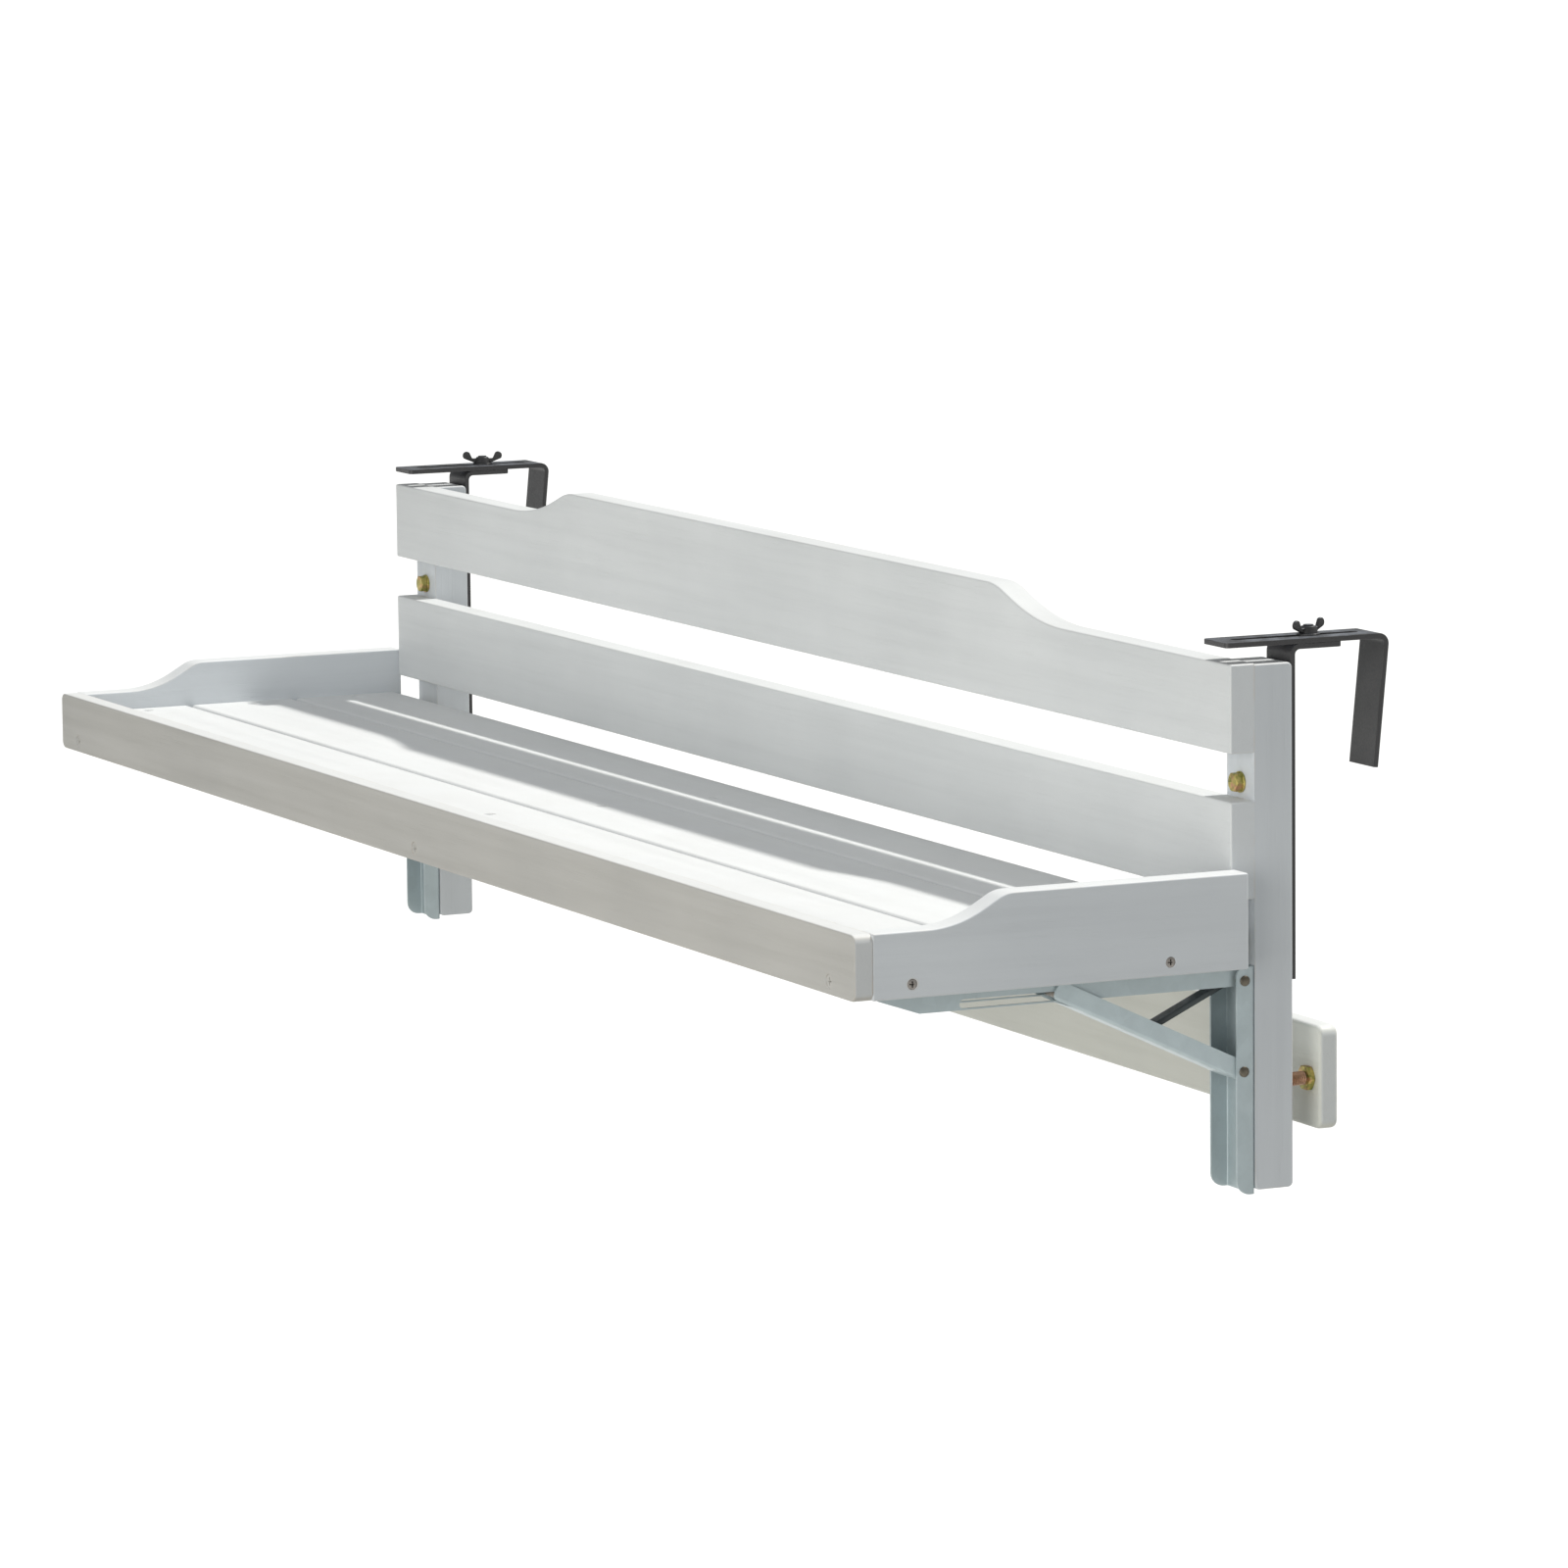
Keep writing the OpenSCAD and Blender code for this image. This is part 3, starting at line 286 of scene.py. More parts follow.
CLAMP_Y = (CLAMP_LO.y + CLAMP_HI.y) / 2


def middle(node):
    """Middle of a node's box."""
    low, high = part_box(node)
    return (low + high) / 2


HINGE = middle("hinge_pins")
BRACE_PIVOT = middle("brace_rivets")
SLIDE = middle("slide_pin_right")
Z_BOLTS = (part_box("strap_washers")[0].z + WASHER_R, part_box("strap_washers")[1].z - WASHER_R)
ADJUST = Vector((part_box("adjust_bolts")[1].x - ADJUST_HEAD_R, Y_BACK, middle("adjust_bolts").z))


class TimberSettings(bpy.types.PropertyGroup):
    """Sizes and stain colours of the timber pieces."""

    board_ease: FloatProperty(
        name="Board easing", description="Radius of the eased edges of boards, posts and rim",
        default=0.0011, min=0.0005, max=0.004, unit="LENGTH", subtype="DISTANCE")
    slat_ease: FloatProperty(
        name="Slat easing", description="Radius of the eased edges of slats and battens",
        default=0.0028, min=0.0005, max=0.003, unit="LENGTH", subtype="DISTANCE")
    stop_ease: FloatProperty(
        name="Stop board easing", description="Radius of the eased edges of the stop board",
        default=0.0024, min=0.0005, max=0.004, unit="LENGTH", subtype="DISTANCE")
    lip_corner: FloatProperty(
        name="Lip corner", description="Radius of the lip's corners seen from the front",
        default=0.005, min=0.003, max=0.01, unit="LENGTH", subtype="DISTANCE")
    grain_contrast: FloatProperty(
        name="Grain contrast", description="How far the grain shows through the stain",
        default=0.32, min=0, max=1, subtype="FACTOR")
    board_stain: FloatVectorProperty(
        name="Board stain", description="White stain on the two boards",
        default=(0.78, 0.80, 0.80), min=0, max=1, subtype="COLOR")
    # Its cool blue cast is partly painted shade from the sky on the posts' and cheeks' sides
    post_stain_and_shade: FloatVectorProperty(
        name="Post stain", description="White stain on the posts and cheeks",
        default=(0.69, 0.725, 0.755), min=0, max=1, subtype="COLOR")
    # Darker than the boards' stain: partly a warmer stain, partly painted shade on the lip's front
    rim_stain_and_shade: FloatVectorProperty(
        name="Lip stain", description="White stain on the front lip",
        default=(0.55, 0.54, 0.505), min=0, max=1, subtype="COLOR")
    slat_stain: FloatVectorProperty(
        name="Slat stain", description="White stain on the slats",
        default=(0.85, 0.86, 0.86), min=0, max=1, subtype="COLOR")
    stop_stain: FloatVectorProperty(
        name="Stop board stain", description="Creamy stain on the stop board and battens",
        default=(0.72, 0.73, 0.67), min=0, max=1, subtype="COLOR")
    bare_wood: FloatVectorProperty(
        name="Bare wood", description="Wood that shows where the stain is rubbed off",
        default=(0.60, 0.47, 0.33), min=0, max=1, subtype="COLOR")


class MetalSettings(bpy.types.PropertyGroup):
    """Sizes and colours of the steel pieces."""

    sheet_bend: FloatProperty(
        name="Sheet bend", description="Outside radius of the folds in the bracket channels",
        default=0.0022, min=0.0016, max=0.003, unit="LENGTH", subtype="DISTANCE")
    steel_ease: FloatProperty(
        name="Steel easing", description="Width of the broken edges of the flat steel",
        default=0.0003, min=0.0001, max=0.0006, unit="LENGTH", subtype="DISTANCE")
    thread_pitch: FloatProperty(
        name="Thread pitch", description="Pitch of the bolt threads",
        default=0.00125, min=0.0008, max=0.0015, unit="LENGTH", subtype="DISTANCE")
    zinc: FloatVectorProperty(
        name="Bracket zinc", description="Pale coating of the folding brackets",
        default=(0.46, 0.535, 0.555), min=0, max=1, subtype="COLOR")
    pin: FloatVectorProperty(
        name="Pin steel", description="Oiled dark steel of the pins and rivets",
        default=(0.125, 0.11, 0.085), min=0, max=1, subtype="COLOR")
    stay: FloatVectorProperty(
        name="Stay lacquer", description="Dark lacquer of the stays",
        default=(0.045, 0.06, 0.062), min=0, max=1, subtype="COLOR")
    hook: FloatVectorProperty(
        name="Hook coat", description="Black powder coat of hooks and straps",
        default=(0.042, 0.041, 0.043), min=0, max=1, subtype="COLOR")
    yellow: FloatVectorProperty(
        name="Yellow zinc", description="Yellow coating of the hex bolts",
        default=(0.62, 0.50, 0.17), min=0, max=1, subtype="COLOR")
    screw: FloatVectorProperty(
        name="Screw zinc", description="Dulled coating of the wood screws",
        default=(0.27, 0.25, 0.23), min=0, max=1, subtype="COLOR")


class StageSettings(bpy.types.PropertyGroup):
    """Floor, light and camera."""

    floor_drop: FloatProperty(
        name="Floor drop", description="Distance of the floor below the hook seats",
        default=1.0, min=0.3, max=3, unit="LENGTH", subtype="DISTANCE")
    floor_half: FloatProperty(
        name="Floor half size", description="Half the side of the square floor",
        default=80, min=50, max=200, unit="LENGTH", subtype="DISTANCE")
    sky: FloatProperty(
        name="Sky light", description="Strength of the even light from all around",
        default=0.38, min=0, max=2)
    sky_tint: FloatVectorProperty(
        name="Sky tint", description="Colour of the even light",
        default=(0.94, 0.975, 1.0), min=0, max=1, subtype="COLOR")
    sun: FloatProperty(
        name="Key light", description="Strength of the key light from behind and above",
        default=3.12, min=0, max=6)
    sun_spread: FloatProperty(
        name="Key spread", description="Apparent size of the key light",
        default=math.radians(2.5), min=0, max=math.pi, subtype="ANGLE")
    sun_from: FloatVectorProperty(
        name="Key direction", description="Direction from the table to the key light",
        default=(0.0, 0.584, 0.812), subtype="DIRECTION")
    panel: FloatProperty(
        name="Front panel", description="Power of the soft light panel in front, in watts",
        default=62, min=0, max=2000, subtype="POWER")
    panel_size: FloatProperty(
        name="Panel size", description="Side of the square light panel",
        default=2.6, min=0.5, max=12, unit="LENGTH", subtype="DISTANCE")
    panel_at: FloatVectorProperty(
        name="Panel place", description="Where the middle of the light panel stands",
        default=(2.0, -3.4, 0.35), subtype="XYZ")
    camera_at: FloatVectorProperty(
        name="Camera place", description="Where the camera stands",
        default=(4.528288, -2.164095, 0.531349), subtype="XYZ")
    azimuth: FloatProperty(
        name="Camera azimuth", description="Turn of the camera from facing the railing",
        default=math.radians(64.7953), subtype="ANGLE")
    elevation: FloatProperty(
        name="Camera elevation", description="How far the camera looks down",
        default=math.radians(7.6782), subtype="ANGLE")
    roll: FloatProperty(
        name="Camera roll", description="Tilt of the picture",
        default=math.radians(-0.5844), subtype="ANGLE")
    lens: FloatProperty(
        name="Lens", description="Focal length of the camera in millimetres",
        default=186.64, min=10, max=400)


# Mesh helpers

def arc(centre, radius, start, end, steps=ARC_STEPS):
    """Points on an arc in a plane, from one angle to the other in degrees."""
    turns = [math.radians(start + (end - start) * n / steps) for n in range(steps + 1)]
    return [(centre[0] + radius * math.cos(a), centre[1] + radius * math.sin(a)) for a in turns]


def linked(name, bm):
    """Object made from a bmesh, with its faces pointing outward."""
    bmesh.ops.recalc_face_normals(bm, faces=bm.faces[:])
    mesh = bpy.data.meshes.new(name)
    bm.to_mesh(mesh)
    bm.free()
    piece = bpy.data.objects.new(name, mesh)
    bpy.context.scene.collection.objects.link(piece)
    return piece


def prism(name, outline, axis, low, high):
    """Solid whose outline lies square to the X, Y or Z axis, from low to high along it."""
    place = {
        "X": lambda u, v, w: (w, u, v),
        "Y": lambda u, v, w: (u, w, v),
        "Z": lambda u, v, w: (u, v, w),
    }[axis]
    bm = bmesh.new()
    rings = [[bm.verts.new(place(u, v, w)) for u, v in outline] for w in (low, high)]
    for loop in rings:
        bm.faces.new(loop)
    for n in range(len(outline)):
        m = (n + 1) % len(outline)
        bm.faces.new((rings[0][n], rings[0][m], rings[1][m], rings[1][n]))
    return linked(name, bm)


def turned(name, profile, sides=ROUND, closed=False):
    """Solid turned about Z from (radius, height) points; closed joins the last to the first."""
    bm = bmesh.new()
    rings = []
    for radius, height in profile:
        if radius < ALMOST_ZERO:
            rings.append([bm.verts.new((0, 0, height))])
            continue
        turns = [2 * math.pi * n / sides for n in range(sides)]
        rings.append([bm.verts.new((radius * math.cos(a), radius * math.sin(a), height)) for a in turns])
    pairs = list(zip(rings, rings[1:]))
    if closed:
        pairs.append((rings[-1], rings[0]))
    for low, high in pairs:
        join_rings(bm, low, high, sides)
    return linked(name, bm)


def join_rings(bm, low, high, sides):
    """Faces between two rings, either of which may be a single point."""
    for n in range(sides):
        m = (n + 1) % sides
        if len(low) == 1:
            bm.faces.new((low[0], high[m], high[n]))
        elif len(high) == 1:
            bm.faces.new((low[n], low[m], high[0]))
        else:
            bm.faces.new((low[n], low[m], high[m], high[n]))


def baked(piece):
    """Applies a piece's modifiers to its mesh."""
    bpy.context.view_layer.update()
    seen = piece.evaluated_get(bpy.context.evaluated_depsgraph_get())
    mesh = bpy.data.meshes.new_from_object(seen)
    old = piece.data
    piece.modifiers.clear()
    piece.data = mesh
    bpy.data.meshes.remove(old)
    return piece


def eased(piece, width, segments=3, angle=SHARP_ANGLE):
    """Rounds the edges that are sharper than an angle in degrees."""
    bevel = piece.modifiers.new("Ease", "BEVEL")
    bevel.width = width
    bevel.segments = segments
    bevel.limit_method = "ANGLE"
    bevel.angle_limit = math.radians(angle)
    return baked(piece)


def eased_beside(piece, width, joint_y, segments=3, angle=SHARP_ANGLE):
    """Rounds a piece's sharp edges but leaves those of its joint face, at joint_y, crisp."""
    bm = bmesh.new()
    bm.from_mesh(piece.data)
    sharp = [e for e in bm.edges if e.calc_face_angle(0) > math.radians(angle)
             and not all(abs(v.co.y - joint_y) < ALMOST_ZERO for v in e.verts)]
    bmesh.ops.bevel(bm, geom=sharp, offset=width, segments=segments, profile=0.5, affect="EDGES")
    bm.to_mesh(piece.data)
    bm.free()
    return piece


def combined(piece, other, operation):
    """Cuts, joins or intersects a piece with another, which is used up."""
    if not other.data.polygons:
        raise RuntimeError(f"{other.name} has no faces to work with")
    step = piece.modifiers.new("Combine", "BOOLEAN")
    step.operation = operation
    step.solver = "EXACT"
    step.object = other
    baked(piece)
    gone(other)
    if not piece.data.polygons:
        raise RuntimeError(f"{piece.name} was lost in a {operation.lower()}")
    return piece


def carved(piece, *cutters):
    """Cuts each cutter out of a piece."""
    for cutter in cutters:
        combined(piece, cutter, "DIFFERENCE")
    return piece


def gone(piece):
    """Removes a helper object with its mesh."""
    mesh = piece.data
    bpy.data.objects.remove(piece)
    bpy.data.meshes.remove(mesh)


def repeated(name, template, places):
    """One object with a copy of the template at each place. The template is used up."""
    bm = bmesh.new()
    for place in places:
        copy = template.data.copy()
        copy.transform(place)
        bm.from_mesh(copy)
        bpy.data.meshes.remove(copy)
    gone(template)
    return linked(name, bm)


def merged(name, pieces):
    """One object that holds the meshes of several, which are used up."""
    bm = bmesh.new()
    for piece in pieces:
        bm.from_mesh(piece.data)
        gone(piece)
    return linked(name, bm)


def mirrored(piece, name):
    """Copy of a right piece for the left end."""
    bm = bmesh.new()
    bm.from_mesh(piece.data)
    bm.transform(MIRROR)
    return linked(name, bm)


def aimed(point, direction):
    """Place whose Z axis points along a direction."""
    turn = Vector(direction).to_track_quat("Z", "Y").to_matrix().to_4x4()
    return Matrix.Translation(point) @ turn


def both_ends(places):
    """Places at the right end and mirrored to the left end."""
    return list(places) + [MIRROR @ place for place in places]


def dress(piece, node, finish):
    """Gives a piece its finish and puts it in the place of a CAD node."""
    piece.name = f"dressed_{node}"
    piece.data.materials.clear()
    piece.data.materials.append(finish)
    piece.data.polygons.foreach_set("use_smooth", [True] * len(piece.data.polygons))
    piece.data.set_sharp_from_angle(angle=math.radians(SHARP_ANGLE))
    weighted = piece.modifiers.new("Even shading", "WEIGHTED_NORMAL")
    weighted.keep_sharp = True
    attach(piece, BODY_OF[node])
    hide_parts(node)
    return piece


def dress_pair(piece, stem, finish):
    """Dresses the right piece and its mirrored copy at the left end."""
    left = mirrored(piece, f"{stem}_left_copy")
    dress(piece, f"{stem}_right", finish)
    dress(left, f"{stem}_left", finish)


# Shader helpers

def feed(tree, sockets, inputs):
    """Links a node's inputs to sockets, or sets them to plain values."""
    for key, value in inputs.items():
        if isinstance(value, bpy.types.NodeSocket):
            tree.links.new(value, sockets[key])
        else:
            sockets[key].default_value = value


def shader_node(tree, kind, inputs=None, **settings):
    """Adds a node, sets its options and feeds its inputs."""
    made = tree.nodes.new(kind)
    for key, value in settings.items():
        setattr(made, key, value)
    feed(tree, made.inputs, inputs or {})
    return made


def math_node(tree, operation, *values, clamp=False):
    """Result of a calculation with one, two or three values."""
    inputs = dict(enumerate(values))
    return shader_node(tree, "ShaderNodeMath", inputs, operation=operation, use_clamp=clamp).outputs[0]


def mixed(tree, factor, first, second, blend="MIX"):
    """Colour between two colours."""
    made = shader_node(tree, "ShaderNodeMix", data_type="RGBA", blend_type=blend)
    feed(tree, made.inputs, dict(zip(MIX_INPUTS, (factor, first, second))))
    return made.outputs[MIX_RESULT]


def stretched(tree, vector, scale):
    """Coordinates stretched by a scale for each axis."""
    return shader_node(tree, "ShaderNodeMapping", {"Vector": vector, "Scale": scale}).outputs[0]


def noise(tree, vector, scale=1.0, detail=4.0, roughness=0.55, distortion=0.0):
    """Value of a noise texture."""
    inputs = {"Vector": vector, "Scale": scale, "Detail": detail,
              "Roughness": roughness, "Distortion": distortion}
    return shader_node(tree, "ShaderNodeTexNoise", inputs).outputs[0]


def ranged(tree, value, low, high, to_low=0, to_high=1):
    """Value moved from one range to another and kept inside it."""
    inputs = {"Value": value, "From Min": low, "From Max": high, "To Min": to_low, "To Max": to_high}
    return shader_node(tree, "ShaderNodeMapRange", inputs, clamp=True).outputs[0]


def new_group(name, inputs, outputs):
    """Empty shader group with named sockets, and its input and output nodes."""
    tree = bpy.data.node_groups.new(name, "ShaderNodeTree")
    for title, kind, default in inputs:
        socket = tree.interface.new_socket(title, in_out="INPUT", socket_type=f"NodeSocket{kind}")
        if default is not None:
            socket.default_value = default
    for title, kind in outputs:
        tree.interface.new_socket(title, in_out="OUTPUT", socket_type=f"NodeSocket{kind}")
    return tree, tree.nodes.new("NodeGroupInput").outputs, tree.nodes.new("NodeGroupOutput").inputs


def stained_grain_group():
    """Softwood grain under a thin stain; the grain runs along X of the coordinates."""
    name = "Stained grain"
    if name in bpy.data.node_groups:
        return bpy.data.node_groups[name]
    tree, given, result = new_group(
        name,
        [("Vector", "Vector", None), ("Stain", "Color", (0.8, 0.8, 0.8, 1)),
         ("Grain", "Color", (0.6, 0.6, 0.6, 1)), ("Contrast", "Float", 0.5)],
        [("Color", "Color"), ("Roughness", "Float"), ("Height", "Float")])
    links = tree.links
    vector = given["Vector"]
    figure = noise(tree, stretched(tree, vector, (1.4, 34, 34)), detail=3, roughness=0.5, distortion=1.2)
    streaks = noise(tree, stretched(tree, vector, (5, 150, 150)), detail=5, roughness=0.6, distortion=0.3)
    pores = noise(tree, stretched(tree, vector, (26, 1100, 1100)), detail=2, roughness=0.6)
    blotches = noise(tree, vector, scale=7, detail=3, roughness=0.5)
    broad = ranged(tree, figure, 0.42, 0.62)
    lines = ranged(tree, streaks, 0.45, 0.72)
    pits = ranged(tree, pores, 0.58, 0.75)
    figured = math_node(tree, "MULTIPLY", broad, FIGURE_SHARE)
    lined = math_node(tree, "MULTIPLY_ADD", lines, LINE_SHARE, figured)
    pored = math_node(tree, "MULTIPLY_ADD", pits, PORE_SHARE, lined)
    amount = math_node(tree, "MULTIPLY", pored, given["Contrast"], clamp=True)
    grained = mixed(tree, amount, given["Stain"], given["Grain"])
    cloud = ranged(tree, blotches, 0.35, 0.65, to_high=0.12)
    clouded = mixed(tree, cloud, grained, STAIN_CLOUD, "MULTIPLY")
    links.new(clouded, result["Color"])
    links.new(ranged(tree, streaks, 0.3, 0.7, 0.42, 0.62), result["Roughness"])
    grooves = math_node(tree, "MULTIPLY", lines, -LINE_DEPTH)
    links.new(math_node(tree, "MULTIPLY_ADD", pits, -PORE_DEPTH, grooves), result["Height"])
    return tree


def edge_wear_group():
    """Mask of the edges where a finish is rubbed, broken up by noise."""
    name = "Edge wear"
    if name in bpy.data.node_groups:
        return bpy.data.node_groups[name]
    tree, given, result = new_group(
        name,
        [("Vector", "Vector", None), ("Radius", "Float", 0.002),
         ("Amount", "Float", 0.5), ("Patch Scale", "Float", 40.0)],
        [("Mask", "Float")])
    soft = shader_node(tree, "ShaderNodeBevel", {"Radius": given["Radius"]}, samples=4).outputs[0]
    true = shader_node(tree, "ShaderNodeNewGeometry").outputs["Normal"]
    facing = shader_node(tree, "ShaderNodeVectorMath", {0: soft, 1: true}, operation="DOT_PRODUCT")
    edge = ranged(tree, facing.outputs["Value"], 0.985, 0.86)
    patches = noise(tree, given["Vector"], given["Patch Scale"], roughness=0.65)
    broken = ranged(tree, patches, 0.46, 0.64)
    worn = math_node(tree, "MULTIPLY", edge, broken)
    tree.links.new(math_node(tree, "MULTIPLY", worn, given["Amount"], clamp=True), result["Mask"])
    return tree


def dust_group():
    """Mask of weather dust that settles on faces that point up."""
    name = "Settled dust"
    if name in bpy.data.node_groups:
        return bpy.data.node_groups[name]
    tree, given, result = new_group(
        name,
        [("Vector", "Vector", None), ("Amount", "Float", 0.2), ("Patch Scale", "Float", 18.0)],
        [("Mask", "Float"), ("Top", "Float")])
    normal = shader_node(tree, "ShaderNodeTexCoord").outputs["Normal"]
    up = shader_node(tree, "ShaderNodeSeparateXYZ", {0: normal}).outputs["Z"]
    top = ranged(tree, up, 0.4, 0.95)
    # Mask of upward faces; the timber finishes also use it to place a painted highlight
    tree.links.new(top, result["Top"])
    patches = noise(tree, given["Vector"], given["Patch Scale"], detail=6, roughness=0.7)
    lying = math_node(tree, "MULTIPLY", top, ranged(tree, patches, 0.4, 0.7))
    tree.links.new(math_node(tree, "MULTIPLY", lying, given["Amount"], clamp=True), result["Mask"])
    return tree


def zinc_mottle_group():
    """Crystal patches and handling marks of a zinc coating."""
    name = "Zinc mottle"
    if name in bpy.data.node_groups:
        return bpy.data.node_groups[name]
    tree, given, result = new_group(
        name,
        [("Vector", "Vector", None), ("Light", "Color", (0.6, 0.6, 0.6, 1)),
         ("Dark", "Color", (0.4, 0.4, 0.4, 1)), ("Patch Scale", "Float", 120.0)],
        [("Color", "Color"), ("Roughness", "Float"), ("Height", "Float")])
    cells = shader_node(tree, "ShaderNodeTexVoronoi",
                        {"Vector": given["Vector"], "Scale": given["Patch Scale"]}).outputs["Color"]
    grey = shader_node(tree, "ShaderNodeSeparateColor", {0: cells}).outputs[0]
    marks = noise(tree, given["Vector"], given["Patch Scale"], detail=5, roughness=0.65)
    marked = math_node(tree, "MULTIPLY", marks, MARK_SHARE)
    patchy = math_node(tree, "MULTIPLY_ADD", grey, CELL_SHARE, marked)
    spread = ranged(tree, patchy, 0.3, 0.7)
    tree.links.new(mixed(tree, spread, given["Light"], given["Dark"]), result["Color"])
    tree.links.new(ranged(tree, marks, 0.3, 0.7, 0.34, 0.52), result["Roughness"])
    tree.links.new(marks, result["Height"])
    return tree


def coat_grain_group():
    """Fine orange-peel texture of a baked coat."""
    name = "Coat grain"
    if name in bpy.data.node_groups:
        return bpy.data.node_groups[name]
    tree, given, result = new_group(
        name,
        [("Vector", "Vector", None), ("Grain Scale", "Float", 900.0)],
        [("Roughness", "Float"), ("Height", "Float")])
    fine = noise(tree, given["Vector"], given["Grain Scale"], detail=3, roughness=0.5)
    tree.links.new(ranged(tree, fine, 0.3, 0.7, 0.36, 0.52), result["Roughness"])
    tree.links.new(fine, result["Height"])
    return tree


def blank_material(name):
    """New material with its shader, its object coordinates and its node tree."""
    material = bpy.data.materials.new(name)
    material.use_nodes = True
    tree = material.node_tree
    shader = tree.nodes["Principled BSDF"]
    coordinates = shader_node(tree, "ShaderNodeTexCoord").outputs["Object"]
    return material, tree, shader, coordinates


def placed_group(tree, group, inputs):
    """A shader group in a material with its own values."""
    made = tree.nodes.new("ShaderNodeGroup")
    made.node_tree = group
    feed(tree, made.inputs, inputs)
    return made.outputs


def add_bump(tree, shader, height, strength, distance):
    """Bump from a height that feeds the shader's normal."""
    inputs = {"Height": height, "Strength": strength, "Distance": distance}
    bump = shader_node(tree, "ShaderNodeBump", inputs)
    tree.links.new(bump.outputs["Normal"], shader.inputs["Normal"])


def opaque(colour, share=1.0):
    """Colour with its alpha, made darker by a share."""
    return (colour[0] * share, colour[1] * share, colour[2] * share, 1)


def timber_finish(name, stain, along, wear=0.35, dust=0.12, painted_top_highlight=0.8):
    """Stained softwood with a painted highlight on its upward faces, whose grain runs along the X, Y or Z
    axis.
    """
    if name in bpy.data.materials:
        return bpy.data.materials[name]
    timber = bpy.context.scene.bar_table_timber
    material, tree, shader, coordinates = blank_material(name)
    turn = {"X": (0, 0, 0), "Y": (0, 0, math.radians(90)), "Z": (0, math.radians(90), 0)}[along]
    lined = shader_node(tree, "ShaderNodeMapping", {"Vector": coordinates, "Rotation": turn}).outputs[0]
    grain = placed_group(tree, stained_grain_group(), {
        "Vector": lined, "Stain": opaque(stain), "Grain": opaque(stain, GRAIN_SHADE),
        "Contrast": timber.grain_contrast})
    ends = end_grain_mask(tree, along)
    # End faces take the post colour, whose blue cast is partly painted cool shade
    toned = mixed(tree, ends, grain["Color"], opaque(timber.post_stain_and_shade, END_GRAIN_SHADE))
    settled = placed_group(tree, dust_group(), {"Vector": coordinates, "Amount": dust})
    # Painted highlight: upward faces are lightened toward the slats' colour, standing in for the light
    # that falls on them
    top_highlight_mask = math_node(tree, "MULTIPLY", settled["Top"], painted_top_highlight)
    top_highlighted = mixed(tree, top_highlight_mask, toned, opaque(timber.slat_stain))
    dusty = mixed(tree, settled["Mask"], top_highlighted, TIMBER_DUST)
    rubbed = placed_group(tree, edge_wear_group(), {
        "Vector": coordinates, "Radius": 0.0016, "Amount": wear, "Patch Scale": 34.0})
    worn = mixed(tree, rubbed["Mask"], dusty, opaque(timber.bare_wood))
    tree.links.new(worn, shader.inputs["Base Color"])
    tree.links.new(grain["Roughness"], shader.inputs["Roughness"])
    add_bump(tree, shader, grain["Height"], strength=0.35, distance=0.0004)
    return material


def end_grain_mask(tree, along):
    """Mask of the faces that cut across the grain."""
    normal = shader_node(tree, "ShaderNodeTexCoord").outputs["Normal"]
    across = shader_node(tree, "ShaderNodeSeparateXYZ", {0: normal}).outputs[along]
    size = math_node(tree, "ABSOLUTE", across)
    return ranged(tree, size, 0.8, 0.98, to_high=0.6)


def zinc_finish(name, light, metallic=0.25, wear=0.12, patch_scale=120.0, contrast=0.93):
    """Zinc-coated sheet or turned steel, brighter along its edges."""
    if name in bpy.data.materials:
        return bpy.data.materials[name]
    material, tree, shader, coordinates = blank_material(name)
    mottle = placed_group(tree, zinc_mottle_group(), {
        "Vector": coordinates, "Light": opaque(light), "Dark": opaque(light, contrast),
        "Patch Scale": patch_scale})
    rubbed = placed_group(tree, edge_wear_group(), {
        "Vector": coordinates, "Radius": 0.0006, "Amount": wear, "Patch Scale": 90.0})
    worn = mixed(tree, rubbed["Mask"], mottle["Color"], RUBBED_ZINC)
    tree.links.new(worn, shader.inputs["Base Color"])
    tree.links.new(mottle["Roughness"], shader.inputs["Roughness"])
    shader.inputs["Metallic"].default_value = metallic
    add_bump(tree, shader, mottle["Height"], strength=0.15, distance=0.0001)
    return material


def yellow_zinc_finish():
    """Yellow passivated zinc with its green and pink cast."""
    name = "yellow_zinc_plate"
    if name in bpy.data.materials:
        return bpy.data.materials[name]
    yellow = bpy.context.scene.bar_table_metal.yellow
    material, tree, shader, coordinates = blank_material(name)
    mottle = placed_group(tree, zinc_mottle_group(), {
        "Vector": coordinates, "Light": opaque(yellow), "Dark": YELLOW_DARK,
        "Patch Scale": 260.0})
    sheen = noise(tree, coordinates, scale=190, detail=3, roughness=0.5)
    pinked = mixed(tree, ranged(tree, sheen, 0.5, 0.66, to_high=0.75), mottle["Color"], PINK_CAST)
    tree.links.new(pinked, shader.inputs["Base Color"])
    tree.links.new(mottle["Roughness"], shader.inputs["Roughness"])
    shader.inputs["Metallic"].default_value = 0.9
    add_bump(tree, shader, mottle["Height"], strength=0.12, distance=0.0001)
    return material


